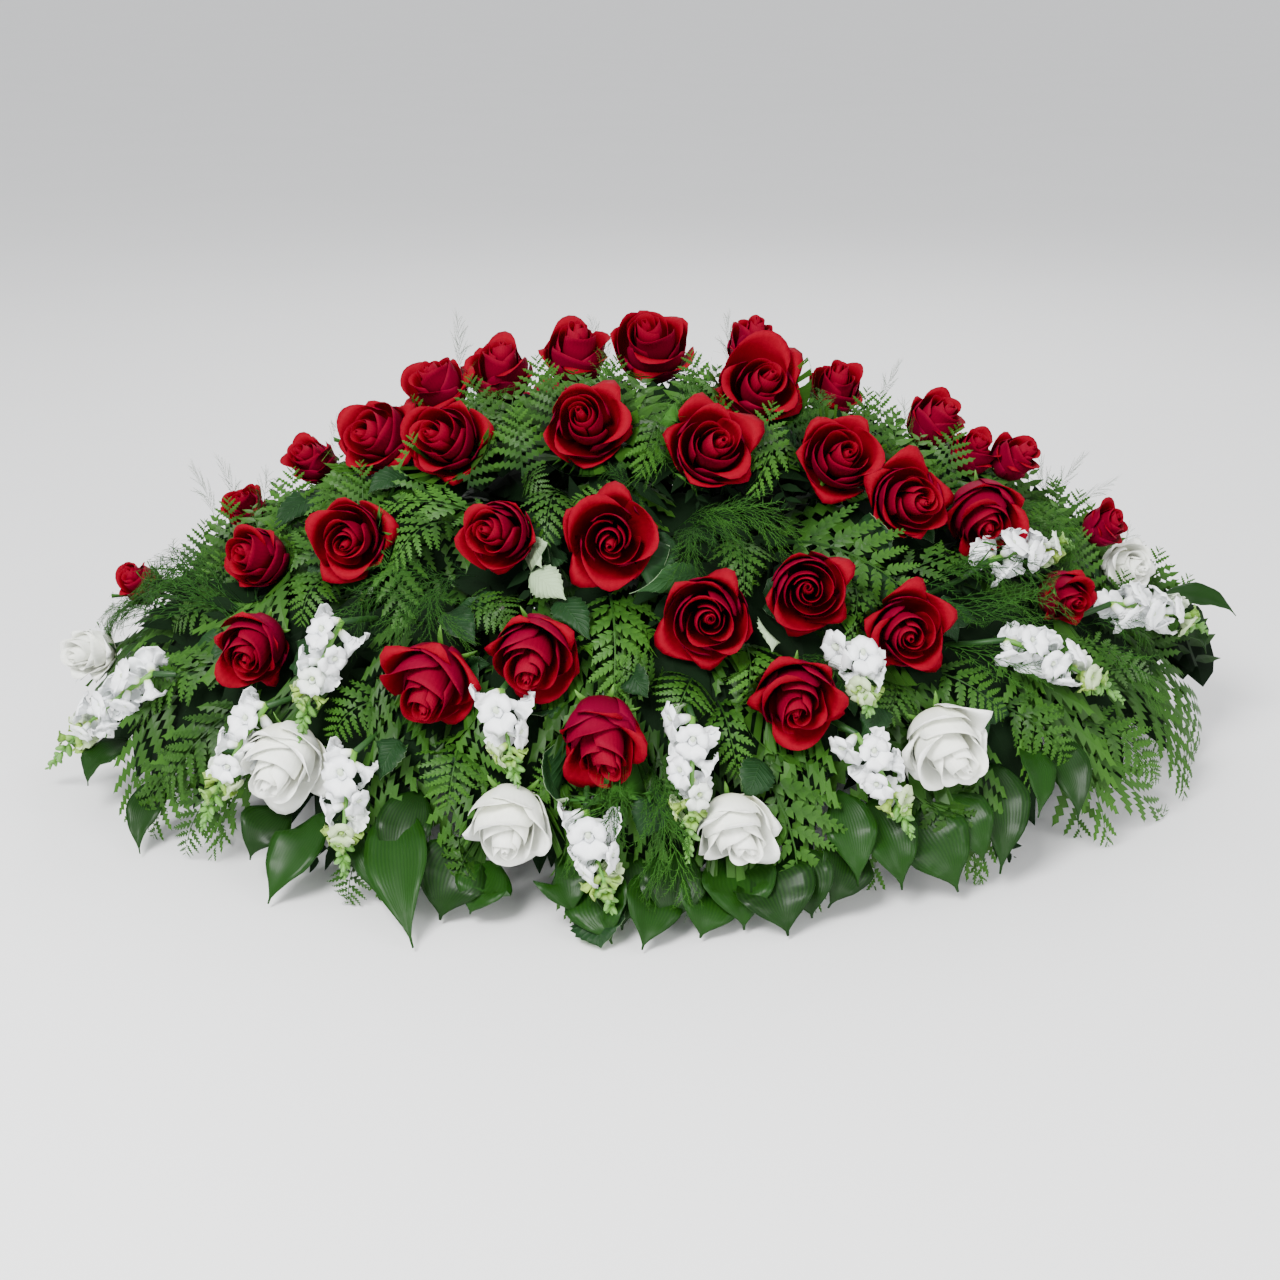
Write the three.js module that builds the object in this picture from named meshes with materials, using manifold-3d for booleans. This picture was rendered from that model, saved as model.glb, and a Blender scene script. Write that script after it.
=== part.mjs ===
// Casket spray: a long mound of red roses, white roses and white snapdragons in leatherleaf
// fern, asparagus plumes and broad leaves, with every stem pushed into one block of floral
// foam that stands in a flat plastic saddle.
//
// Millimetres, +Z up, the front towards -Y. The origin is the middle of the saddle's
// underside, which rests on the casket's lid or on a table. Leaves and flowers that would
// trail below a narrow lid lie down to the same surface here.
//
// Flowers sit on an imaginary shell, the mound's outer surface. Those that the front view
// shows are placed by their pixel in a square photograph of 1280 pixels, seen from EYE; the
// rest are placed on the shell by a rule. Roses that touch are joined in one body, and so is
// all the greenery of one sector, whose stems gather in one bunch that stands in a plain
// hole in the foam. No leaf or needle leaves its own sector.

import * as THREE from "three";
import { mergeVertices } from "three/addons/utils/BufferGeometryUtils.js";
import Module from "manifold-3d";

const wasm = await Module();
wasm.setup();
const V = (x, y, z) => new THREE.Vector3(x, y, z);

// The mound's shell, through the middle of the flowers
const HALF_LENGTH = 535;
const FRONT_DEPTH = 372;
const BACK_DEPTH = 300;
const CROWN = 352;
const BEND_X = 1.6; // the shell's powers: 2 is an ellipse, 1 a straight slope
const BEND_Y = 2.1;
const BEND_Z = 1.5;
const FLOOR_GAP = 4; // how far leaves stay above the surface that the saddle stands on

// The saddle and its foam
const SADDLE = { length: 470, width: 150, base: 4, wall: 3, rim: 30 };
const FOAM = { length: 452, width: 132, height: 104 };
const SEAT_GAP = 0.3; // running gap between pieces that touch
const GRID = 0.01; // of the finished corners
const CALYX = 0.15; // its radius, as a share of its rose's width
const CALYX_HEIGHT = 0.8; // as a share of its radius

// The eye that took the front view
const EYE = V(0, -1683, 717);
const LOOK_DOWN = THREE.MathUtils.degToRad(20);
const FOCAL = 1955; // pixels
const MIDDLE = 640; // pixels
const NEAR = 1150; // mm from the eye, in front of the spray
const FAR = 2150; // behind it
const STRIDE = 2; // mm between the places tried along a line
const RIGHT = V(1, 0, 0);
const UP = V(0, Math.sin(LOOK_DOWN), Math.cos(LOOK_DOWN));
const AHEAD = V(0, Math.cos(LOOK_DOWN), -Math.sin(LOOK_DOWN));

// A rose's proportions, as shares of its width, and its turn from the rose before
const ROSE_DEPTH = 0.38; // foot under the shell
const ROSE_HEART = 0.42; // heart above the foot
const ROSE_CLEAR = 0.4; // least height of the foot
const ROSE_TURN = 1.7; // radians

// Snapdragon heads
const FLORET_REACH = 27; // from the stalk, at the lowest whorl
const HEAD_LIFT = 12; // of the stalk above the shell
const HEAD_ARCH = 8;
const HEAD_FLOOR = 20; // least height of the stalk
const BACK_HEAD_SHARE = 0.2; // length of a head of the back, as a share of the way out

// Leaves: how deep they stand in the shell at foot and tip, and how far they arch
const LEAF_FOOT_DEPTH = 0.9;
const LEAF_TIP_DEPTH = 0.99;
const LEAF_BELLY = 12;
const BACK_LEAF_SHARES = [0.84, 1.06];
const PLUME_DEPTH = 0.95;
const PLUME_ARCH = 14;

// Thicknesses and radii
const BLADE = 0.9;
const STEM = 2.6;
const LEAF_STALK = 2;
const PLUME_STEM = 1.8;
// A sector's gathered stems: a peg in the foam, and a head in which the stems start
const BUNCH = { radius: 9, swell: 20, sunk: 62, middle: 31, rise: 50, start: 13 };

// Red roses: pixel across, pixel down, width in mm, how far the face leans right and up,
// and how much nearer to the eye than the shell it stands
const RED_ROSES = [
  [652, 348, 84, 0.05, 0.62, 12],
  [575, 356, 70, 0.1, 0.82, 10],
  [500, 373, 72, -0.15, 0.8, 22],
  [439, 388, 66, -0.45, 0.75, 30],
  [381, 438, 78, -0.5, 0.4, 80],
  [447, 441, 78, -0.2, 0.28],
  [314, 461, 54, -0.35, 0.6, 26],
  [586, 426, 78, -0.05, 0.18],
  [710, 448, 80, 0.12, 0.35],
  [757, 387, 80, 0.12, 0.42, 64],
  [752, 346, 60, 0, 0.85, 12],
  [835, 391, 64, 0.15, 0.7, -14],
  [838, 458, 76, 0.05, 0.35],
  [907, 499, 76, 0.25, 0.15, 8],
  [933, 421, 62, 0.4, 0.72, 10],
  [972, 453, 54, 0.3, 0.75, 12],
  [1013, 458, 54, 0.5, 0.62, 14],
  [985, 514, 78, 0.15, -0.45, 38],
  [1104, 526, 50, 0.6, 0.45, 30],
  [1064, 597, 62, 0.3, -0.3],
  [352, 539, 72, -0.15, 0.08],
  [500, 535, 72, -0.25, 0.02],
  [612, 537, 80, 0.05, 0.06],
  [808, 590, 78, 0.02, -0.08],
  [707, 618, 84, -0.08, -0.12],
  [907, 631, 74, 0.2, -0.1],
  [535, 652, 78, -0.08, -0.36],
  [432, 680, 78, -0.3, -0.45],
  [253, 647, 76, -0.25, -0.3],
  [258, 558, 68, -0.45, 0.05],
  [246, 508, 48, -0.35, 0.62, 10],
  [140, 584, 52, -0.55, 0.45, 24],
  [798, 698, 78, 0.12, -0.34],
  [602, 736, 80, -0.02, -0.6],
];

// White roses, in the same terms
const WHITE_ROSES = [
  [285, 760, 80, -0.15, -0.5],
  [510, 824, 78, -0.05, -0.58],
  [735, 828, 70, 0.2, -0.55],
  [945, 743, 78, 0.25, -0.45],
  [1126, 564, 58, 0.35, 0.1],
  [92, 652, 56, -0.5, -0.1],
];

// Roses of the back, as places on the shell: angle round the mound from +X, share of the
// way out, width
const BACK_RED_ROSES = [
  [36, 0.76, 70],
  [62, 0.56, 76],
  [90, 0.8, 74],
  [120, 0.54, 78],
  [145, 0.76, 72],
];
const BACK_WHITE_ROSES = [
  [60, 0.94, 72],
  [118, 0.95, 74],
];

// Snapdragon heads: pixels of the lowest floret and of the tip
const SNAPDRAGONS = [
  [165, 678, 60, 776],
  [276, 708, 212, 830],
  [350, 626, 308, 744],
  [362, 752, 352, 876],
  [506, 692, 522, 786],
  [588, 808, 616, 914],
  [690, 718, 686, 860],
  [850, 735, 905, 836],
  [848, 648, 862, 718],
  [980, 570, 1064, 556],
  [996, 645, 1112, 706],
  [1100, 612, 1196, 640],
];
// Snapdragon heads of the back: angle, share of the way out at the lowest floret
const BACK_SNAPDRAGONS = [
  [42, 0.84],
  [140, 0.84],
];

// Broad leaves of the skirt: pixels of the leaf's foot and tip, and width in mm
const BROAD_LEAVES = [
  [398, 800, 413, 948, 50],
  [325, 812, 268, 904, 42],
  [168, 778, 140, 854, 30],
  [470, 838, 440, 920, 62],
  [596, 872, 612, 944, 52],
  [656, 870, 642, 950, 46],
  [708, 872, 700, 938, 52],
  [762, 856, 788, 936, 62],
  [845, 838, 828, 908, 46],
  [908, 806, 958, 892, 58],
  [986, 762, 1000, 874, 46],
  [1022, 742, 1038, 818, 30],
  [1048, 736, 1078, 822, 34],
  [1160, 596, 1236, 616, 24],
  [1158, 616, 1206, 654, 40],
];
// Broad leaves of the back: angle and width
const BACK_BROAD_LEAVES = [
  [12, 44],
  [34, 50],
  [76, 46],
  [102, 52],
  [146, 50],
  [170, 42],
];

// Leatherleaf fronds of the left side, each with its twin on the right: where the line that
// it follows starts on the mound's long axis, the line's angle, shares of the way out at
// foot and tip, half width in mm, and how deep under the shell
const SIDE_FRONDS = [
  [-120, 187, 0.5, 1.03, 72, 0.88],
  [-120, 206, 0.52, 1.04, 62, 0.82],
  [-110, 223, 0.5, 1.04, 66, 0.88],
  [-100, 240, 0.52, 1.04, 60, 0.82],
  [-95, 257, 0.52, 1.04, 58, 0.88],
  [-110, 205, 0.1, 0.56, 56, 0.84],
  [-90, 240, 0.18, 0.6, 52, 0.84],
  [-130, 166, 0.5, 1.02, 68, 0.88],
  [-120, 140, 0.5, 1.02, 66, 0.82],
  [-100, 112, 0.5, 1.02, 62, 0.88],
  [-110, 150, 0.16, 0.56, 58, 0.84],
];
const MIDDLE_FRONDS = [
  [-36, 268, 0.5, 1.04, 56, 0.82],
  [38, 273, 0.5, 1.04, 56, 0.88],
  [0, 270, 0.14, 0.58, 56, 0.84],
  [0, 90, 0.5, 1.02, 62, 0.88],
];
const TWIN_TURN = 4; // degrees by which a twin differs

// Asparagus plumes: pixels of foot and tip, or angle and shares for the back
const PLUMES = [
  [235, 600, 78, 640],
  [470, 540, 372, 640],
  [655, 380, 640, 480],
  [700, 505, 790, 560],
  [930, 560, 1090, 612],
  [1010, 478, 1096, 556],
  [625, 775, 660, 895],
  [470, 408, 420, 362],
  [700, 372, 760, 352],
];
const BACK_PLUMES = [
  [24, 0.5, 0.98],
  [94, 0.5, 0.98],
  [157, 0.5, 0.98],
];

// Seeded random draw, the same on every run
function drawer(seed) {
  let state = seed;
  return () => {
    state = (state + 0x6d2b79f5) | 0;
    let t = Math.imul(state ^ (state >>> 15), 1 | state);
    t = (t + Math.imul(t ^ (t >>> 7), 61 | t)) ^ t;
    return ((t ^ (t >>> 14)) >>> 0) / 4294967296;
  };
}

// Shell: 1 on its surface, less inside
function shellValue(p, depth = 1) {
  const reach = p.y < 0 ? FRONT_DEPTH : BACK_DEPTH;
  return (
    Math.abs(p.x / (HALF_LENGTH * depth)) ** BEND_X +
    Math.abs(p.y / (reach * depth)) ** BEND_Y +
    Math.max(p.z / (CROWN * depth), 0) ** BEND_Z
  );
}

function shellNormal(p) {
  const step = 2;
  const slope = (dx, dy, dz) =>
    shellValue(V(p.x + dx, p.y + dy, p.z + dz)) - shellValue(V(p.x - dx, p.y - dy, p.z - dz));
  return V(slope(step, 0, 0), slope(0, step, 0), slope(0, 0, step)).normalize();
}

// Height of the shell over a place in plan
function heightAt(x, y, depth = 1) {
  const reach = y < 0 ? FRONT_DEPTH : BACK_DEPTH;
  const left = 1 - Math.abs(x / (HALF_LENGTH * depth)) ** BEND_X - Math.abs(y / (reach * depth)) ** BEND_Y;
  return left > 0 ? CROWN * depth * left ** (1 / BEND_Z) : 0;
}

// Point of the shell at a share of the way from the long axis to the mound's foot
function onShell(degrees, share, depth = 1, start = 0) {
  const turn = THREE.MathUtils.degToRad(degrees);
  let far = 0;
  while (heightAt(start + far * Math.cos(turn), far * Math.sin(turn)) > 0) far += STRIDE;
  const x = start + far * share * depth * Math.cos(turn);
  const y = far * share * depth * Math.sin(turn);
  return V(x, y, Math.max(heightAt(x, y, depth), 2 * FLOOR_GAP));
}

// Points at equal steps along a line over the shell
function overShell(degrees, from, to, depth, start, count) {
  const steps = 40;
  const fine = Array.from({ length: steps + 1 }, (_, i) =>
    onShell(degrees, THREE.MathUtils.lerp(from, to, i / steps), depth, start),
  );
  return new THREE.CatmullRomCurve3(fine).getSpacedPoints(count);
}

// Point where the sight line through a pixel first meets the shell, or comes nearest to it
function seenAt(across, down, depth = 1) {
  const sight = AHEAD.clone()
    .addScaledVector(RIGHT, (across - MIDDLE) / FOCAL)
    .addScaledVector(UP, (MIDDLE - down) / FOCAL);
  let nearest = Infinity;
  let found = null;
  for (let reach = NEAR; reach < FAR; reach += STRIDE) {
    const p = EYE.clone().addScaledVector(sight, reach);
    const value = shellValue(p, depth);
    if (p.z < FLOOR_GAP || value < 1) break;
    if (value < nearest) [nearest, found] = [value, p];
  }
  return found;
}

// A face that leans right and up in the front view
const facing = (lean, rise) =>
  RIGHT.clone()
    .multiplyScalar(lean)
    .addScaledVector(UP, rise)
    .addScaledVector(AHEAD, -Math.sqrt(Math.max(1 - lean * lean - rise * rise, 0.04)))
    .normalize();

// Shapes are {points, faces}; a face is three indices, seen from outside anticlockwise
function facesToSolid({ points, faces }) {
  const vertProperties = new Float32Array(points.flatMap((p) => [p.x, p.y, p.z]));
  const triVerts = new Uint32Array(faces.flat());
  return new wasm.Manifold(new wasm.Mesh({ numProp: 3, vertProperties, triVerts }));
}

// Skin over a row of rings of equal counts. A ring of one point closes an end, a ring of
// half as many points as the last is bridged to it, and an open end gets a flat lid.
function loft(rings) {
  const points = rings.flat();
  const faces = [];
  const lid = (start, count, turned) => {
    for (let k = 1; k < count - 1; k++) {
      faces.push(turned ? [start, start + k + 1, start + k] : [start, start + k, start + k + 1]);
    }
  };
  lid(0, rings[0].length, true);
  let start = 0;
  rings.slice(1).forEach((ring, i) => {
    const last = rings[i];
    const next = start + last.length;
    const a = (k) => start + (k % last.length);
    const b = (k) => next + (k % ring.length);
    for (let k = 0; k < Math.max(last.length, ring.length); k++) {
      if (last.length === 1) faces.push([start, b(k + 1), b(k)]);
      else if (ring.length === 1) faces.push([a(k), a(k + 1), next]);
      else if (ring.length === last.length) {
        faces.push([a(k), a(k + 1), b(k)], [a(k + 1), b(k + 1), b(k)]);
      } else if (k % 2 === 0) {
        const half = k / 2;
        faces.push([a(k), a(k + 1), b(half)], [a(k + 1), b(half + 1), b(half)]);
        faces.push([a(k + 1), a(k + 2), b(half + 1)]);
      }
    }
    start = next;
  });
  lid(start, rings.at(-1).length, false);
  return { points, faces };
}

// Thin solid of an open patch of triangles, half its thickness on each side
function sheet({ points, faces }, thickness = BLADE) {
  const normals = points.map(() => V(0, 0, 0));
  const edges = new Map();
  for (const [a, b, c] of faces) {
    const n = points[b].clone().sub(points[a]).cross(points[c].clone().sub(points[a])).normalize();
    for (const [i, j] of [[a, b], [b, c], [c, a]]) {
      normals[i].add(n);
      if (!edges.delete(j + "," + i)) edges.set(i + "," + j, [i, j]);
    }
  }
  const side = (sign) =>
    points.map((p, i) => p.clone().addScaledVector(normals[i].normalize(), (sign * thickness) / 2));
  const under = points.length;
  const rims = [...edges.values()].flatMap(([i, j]) => [
    [j, i, i + under],
    [j, i + under, j + under],
  ]);
  return {
    points: [...side(1), ...side(-1)],
    faces: [...faces, ...faces.map(([a, b, c]) => [c + under, b + under, a + under]), ...rims],
  };
}

// The same shape with every face moved out by the seat gap
function grown({ points, faces }) {
  const normals = points.map(() => V(0, 0, 0));
  const around = points.map(() => []);
  for (const [a, b, c] of faces) {
    const n = points[b].clone().sub(points[a]).cross(points[c].clone().sub(points[a])).normalize();
    for (const i of [a, b, c]) {
      normals[i].add(n);
      around[i].push(n);
    }
  }
  const moved = points.map((p, i) => {
    const n = normals[i].normalize();
    const flattest = Math.max(0.3, Math.min(...around[i].map((m) => m.dot(n))));
    return p.clone().addScaledVector(n, SEAT_GAP / flattest);
  });
  return { points: moved, faces };
}

const join = (shapes) => wasm.Manifold.union(shapes.map(facesToSolid));
const joinGrown = (shapes) => wasm.Manifold.union(shapes.map((shape) => facesToSolid(grown(shape))));

// The largest body of a solid, without loose scraps
function largest(solid) {
  return solid.decompose().sort((a, b) => b.volume() - a.volume())[0];
}

// Ring of points round an axis: radius and height by a formula of the point's number
function ringAbout(foot, axis, count, turn, place) {
  const side = Math.abs(axis.z) < 0.9 ? V(0, 0, 1) : V(0, 1, 0);
  const east = side.cross(axis).normalize();
  const north = axis.clone().cross(east);
  return Array.from({ length: count }, (_, k) => {
    const angle = turn + (2 * Math.PI * k) / count;
    const { radius, height } = place(k, angle);
    return foot
      .clone()
      .addScaledVector(axis, height)
      .addScaledVector(east, radius * Math.cos(angle))
      .addScaledVector(north, radius * Math.sin(angle));
  });
}

// Rose: three layers of five petals round a hollow heart. The outer petals roll back to a
// point, and each layer's petals cover the gaps of the one outside it.
function rose(foot, axis, width, turn) {
  const ring = (shift, wide, narrow, high, low) =>
    ringAbout(foot, axis, 10, turn + shift, (k) => ({
      radius: width * (k % 2 ? narrow : wide),
      height: width * (k % 2 ? low : high),
    }));
  const at = (height) => [foot.clone().addScaledVector(axis, width * height)];
  const heart = (radius, height) =>
    ringAbout(foot, axis, 5, turn + 0.3, () => ({ radius: width * radius, height: width * height }));
  return loft([
    ring(0, CALYX, CALYX, 0, 0),
    ring(0, 0.54, 0.46, 0.4, 0.34),
    ring(0, 0.38, 0.33, 0.44, 0.42),
    ring(0, 0.32, 0.39, 0.62, 0.68),
    heart(0.22, 0.52),
    heart(0.15, 0.8),
    at(0.6),
  ]);
}

// Stem through a row of points, which may widen at its end to the calyx of a rose
function stem(path, seatAxis, calyxRadius) {
  const ringAt = (p, direction, radius) => ringAbout(p, direction, 4, 0, () => ({ radius, height: 0 }));
  const rings = path.map((p, i) => {
    const before = p.clone().sub(path[Math.max(i - 1, 0)]).normalize();
    const after = i < path.length - 1 ? path[i + 1].clone().sub(p).normalize() : null;
    return ringAt(p, after ? before.add(after).normalize() : seatAxis, STEM);
  });
  if (calyxRadius) {
    const top = path.at(-1).clone().addScaledVector(seatAxis, calyxRadius * CALYX_HEIGHT);
    rings.push(ringAt(top, seatAxis, calyxRadius));
  }
  return loft(rings);
}

// Snapdragon head: whorls of three florets, each whorl turned to fill the gaps of the last,
// smaller upwards, and a spike of buds at the tip
function snapdragon(path, size, turn) {
  const curve = new THREE.CatmullRomCurve3(path);
  const whorls = 5;
  const rings = [];
  const ringAt = (share, radius, lobe, shift) =>
    rings.push(
      ringAbout(curve.getPointAt(share), curve.getTangentAt(share), 6, turn, (k) => ({
        radius: k % 2 === shift ? lobe : radius,
        height: k % 2 === shift ? 0.3 * lobe : 0,
      })),
    );
  for (let k = 0; k < whorls; k++) {
    const low = (0.78 * k) / whorls;
    const here = size * (1 - 0.62 * low);
    ringAt(low, 0.24 * here, 0.24 * here, 0);
    ringAt(low + 0.085, 0.36 * here, here, k % 2);
  }
  ringAt(0.8, 0.2 * size, 0.2 * size, 0);
  ringAt(0.86, 0.16 * size, 0.4 * size, 0);
  return loft([...rings, [curve.getPointAt(1)]]);
}

// Leaf frame at a point of its rib: along the rib, across it, and off the shell
function leafFrame(path, i) {
  const ahead = path[Math.min(i + 1, path.length - 1)].clone();
  const along = ahead.sub(path[Math.max(i - 1, 0)]).normalize();
  const off = shellNormal(path[i]);
  const across = along.clone().cross(off).normalize();
  return { along, across, off: across.clone().cross(along) };
}

// Strip of the leaf's stalk, from the bunch to its first pair of points
function addStalkStrip(points, faces, start) {
  const { across } = leafFrame([start, points[0]], 0);
  const sideways = points[1].clone().sub(points[0]).normalize();
  const turned = across.dot(sideways) < 0 ? -LEAF_STALK : LEAF_STALK;
  const first = points.length;
  points.push(start.clone().addScaledVector(across, -turned), start.clone().addScaledVector(across, turned));
  faces.push([first, first + 1, 0], [first + 1, 1, 0]);
}

// Leatherleaf frond: one arched blade cut to the rib into long pointed leaflets
function frond(path, halfWidth, start) {
  const pairs = path.length - 1;
  const points = [];
  const faces = [];
  path.forEach((p, i) => {
    const { across } = leafFrame(path, i);
    const half = THREE.MathUtils.lerp(2.6, 1.2, i / pairs);
    points.push(p.clone().addScaledVector(across, -half), p.clone().addScaledVector(across, half));
  });
  const spacing = path[0].distanceTo(path[1]);
  for (let i = 0; i < pairs; i++) {
    const share = (i + 0.5) / pairs;
    const reach = halfWidth * (1 - share) ** 0.8 * Math.min(1, 0.62 + 2.6 * share);
    const { along, across, off } = leafFrame(path, i);
    const middle = path[i].clone().lerp(path[i + 1], 0.5);
    for (const sign of [-1, 1]) {
      const tip = middle
        .clone()
        .addScaledVector(across, sign * (reach + 4))
        .addScaledVector(along, 0.42 * reach + 0.3 * spacing)
        .addScaledVector(off, -0.16 * reach);
      points.push(tip);
    }
    const [a, b, c, d] = [2 * i, 2 * i + 1, 2 * i + 2, 2 * i + 3];
    const left = 2 * path.length + 2 * i;
    faces.push([a, b, c], [b, d, c], [a, c, left], [b, left + 1, d]);
  }
  addStalkStrip(points, faces, start);
  return { points, faces };
}

// Broad leaf: a folded blade, widest at a share of its length, with a pointed tip
function leaf(path, width, start, widest = 0.4) {
  const points = [];
  const faces = [];
  const last = path.length - 1;
  path.forEach((p, i) => {
    const share = i / last;
    const rising = Math.sin((Math.PI / 2) * (share / widest));
    const falling = Math.cos((Math.PI / 2) * ((share - widest) / (1 - widest))) ** 0.8;
    const half = (width / 2) * (share < widest ? rising : falling);
    const { across, off } = leafFrame(path, i);
    const wing = (sign) => p.clone().addScaledVector(across, sign * half).addScaledVector(off, 0.22 * half);
    const edge = (sign) => p.clone().addScaledVector(across, sign * LEAF_STALK);
    if (i === 0) points.push(edge(-1), edge(1));
    else if (i === last) points.push(p.clone());
    else points.push(wing(-1), p.clone(), wing(1));
  });
  faces.push([0, 1, 3], [0, 3, 2], [1, 4, 3]);
  for (let a = 2; a + 5 < points.length; a += 3) {
    faces.push([a, a + 1, a + 3], [a + 1, a + 4, a + 3], [a + 1, a + 2, a + 4], [a + 2, a + 5, a + 4]);
  }
  const a = points.length - 4;
  faces.push([a, a + 1, a + 3], [a + 1, a + 2, a + 3]);
  addStalkStrip(points, faces, start);
  return { points, faces };
}

// Asparagus plume: a slim arching stem with needles in whorls of three, longest in the
// middle. Each needle grows from one side of the stem, between two rings close together.
function plume(path, draw) {
  const curve = new THREE.CatmullRomCurve3(path, false, "catmullrom", 0.5);
  const whorls = 7;
  const points = [];
  const faces = [];
  const sides = [0, 1, 2];
  const addRing = (share, turn) => {
    const radius = THREE.MathUtils.lerp(PLUME_STEM, 0.9, share);
    const [middle, along] = [curve.getPointAt(share), curve.getTangentAt(share)];
    return points.push(...ringAbout(middle, along, 3, turn, () => ({ radius, height: 0 }))) - 3;
  };
  let low = addRing(0, 0);
  faces.push([low, low + 2, low + 1]);
  const bridge = (from, to, k) => {
    const [a, b, c, d] = [from + k, from + ((k + 1) % 3), to + k, to + ((k + 1) % 3)];
    faces.push([a, b, c], [b, d, c]);
  };
  for (let whorl = 0; whorl < whorls; whorl++) {
    const share = 0.45 + (0.54 * whorl) / (whorls - 1);
    const turn = whorl * 1.05;
    const from = addRing(share - 0.006, turn);
    const to = addRing(share + 0.006, turn);
    sides.forEach((k) => bridge(low, from, k));
    for (const k of sides) {
      const corners = [from + k, from + ((k + 1) % 3), to + ((k + 1) % 3), to + k];
      const root = corners.reduce((sum, i) => sum.add(points[i]), V(0, 0, 0)).multiplyScalar(0.25);
      const out = root.clone().sub(curve.getPointAt(share)).normalize();
      const length = (22 + 22 * draw()) * Math.sin(Math.PI * (0.25 + (0.6 * whorl) / whorls));
      const axis = out.multiplyScalar(0.8).addScaledVector(curve.getTangentAt(share), 0.8).normalize();
      const tip = points.push(root.addScaledVector(axis, length)) - 1;
      corners.forEach((corner, i) => faces.push([corner, corners[(i + 1) % 4], tip]));
    }
    low = to;
  }
  faces.push([low, low + 1, low + 2]);
  return { points, faces };
}

// Sectors of the greenery, and where the bunch of each stands
const SECTORS = ["front_left", "front_middle", "front_right", "back_left", "back_middle", "back_right"];
const FOAM_TOP = SADDLE.base + SEAT_GAP + FOAM.height;
const MIDDLE_HALF = 76; // half the width of the middle sectors
const SPLIT = 8; // where the back sectors start
const SECTOR_GAP = 1.2;
const bunchAt = (sector) => V(((sector % 3) - 1) * 148, sector < 3 ? -32 : 42, FOAM_TOP);

function sectorOf(p) {
  const side = p.x < -MIDDLE_HALF ? 0 : p.x > MIDDLE_HALF ? 2 : 1;
  return (p.y > SPLIT ? 3 : 0) + side;
}

// The nearest place inside a sector, above the surface
function kept(p, sector) {
  const limit = MIDDLE_HALF + (sector % 3 === 1 ? -SECTOR_GAP : SECTOR_GAP);
  if (sector % 3 === 0) p.x = Math.min(p.x, -limit);
  if (sector % 3 === 1) p.x = THREE.MathUtils.clamp(p.x, -limit, limit);
  if (sector % 3 === 2) p.x = Math.max(p.x, limit);
  p.y = sector < 3 ? Math.min(p.y, SPLIT - SECTOR_GAP) : Math.max(p.y, SPLIT + SECTOR_GAP);
  p.z = Math.max(p.z, FLOOR_GAP);
  return p;
}

const within = (shape, sector) => ({ ...shape, points: shape.points.map((p) => kept(p.clone(), sector)) });

// Bunch of gathered stems: a peg down into the foam, and a head that the stems spread from
function bunch(sector, spare = 0) {
  const hexagon = (radius, height) =>
    ringAbout(bunchAt(sector), V(0, 0, 1), 6, 0, () => ({ radius: radius + spare, height }));
  const at = (height) => [bunchAt(sector).setZ(FOAM_TOP + height)];
  const low = -BUNCH.sunk - spare;
  const peg = [at(low), hexagon(BUNCH.radius, low)];
  if (spare > 0) return loft([...peg, hexagon(BUNCH.radius, 5), at(5)]);
  return loft([...peg, hexagon(BUNCH.radius, 1), hexagon(BUNCH.swell, BUNCH.middle), at(BUNCH.rise)]);
}

const greens = SECTORS.map((_, sector) => ({ stems: [bunch(sector)], leaves: [] }));

// Where a stem that goes to a target starts, inside its bunch's head
function startOf(target) {
  const head = bunchAt(sectorOf(target));
  head.z += BUNCH.middle;
  return head.addScaledVector(target.clone().sub(head).normalize(), BUNCH.start);
}

// Blooms. Each wants a stem: where it ends, along which axis, and the calyx there.
const blooms = [];
const wanted = [];
function addRose(kind, number, middle, axis, width) {
  const foot = middle.clone().addScaledVector(axis, -ROSE_DEPTH * width);
  foot.z = Math.max(foot.z, ROSE_CLEAR * width + FLOOR_GAP);
  const name = kind + "_" + String(number).padStart(2, "0");
  const heart = foot.clone().addScaledVector(axis, ROSE_HEART * width);
  const shapes = [rose(foot, axis, width, number * ROSE_TURN)];
  blooms.push({ kind, name, number, heart, reach: width / 2, shapes });
  const calyx = CALYX * width;
  const neck = foot.clone().addScaledVector(axis, -CALYX_HEIGHT * calyx - SEAT_GAP);
  wanted.push({ end: neck, axis, calyx, own: blooms.at(-1) });
}

RED_ROSES.forEach(([across, down, width, lean, rise, nearer = 0], i) => {
  const middle = seenAt(across, down);
  middle.addScaledVector(EYE.clone().sub(middle).normalize(), nearer);
  addRose("red_rose", i + 1, middle, facing(lean, rise), width);
});
BACK_RED_ROSES.forEach(([angle, share, width], i) => {
  const middle = onShell(angle, share);
  addRose("red_rose", RED_ROSES.length + i + 1, middle, shellNormal(middle), width);
});
WHITE_ROSES.forEach(([across, down, width, lean, rise], i) =>
  addRose("white_rose", i + 1, seenAt(across, down), facing(lean, rise), width),
);
BACK_WHITE_ROSES.forEach(([angle, share, width], i) => {
  const middle = onShell(angle, share);
  addRose("white_rose", WHITE_ROSES.length + i + 1, middle, shellNormal(middle), width);
});

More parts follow.
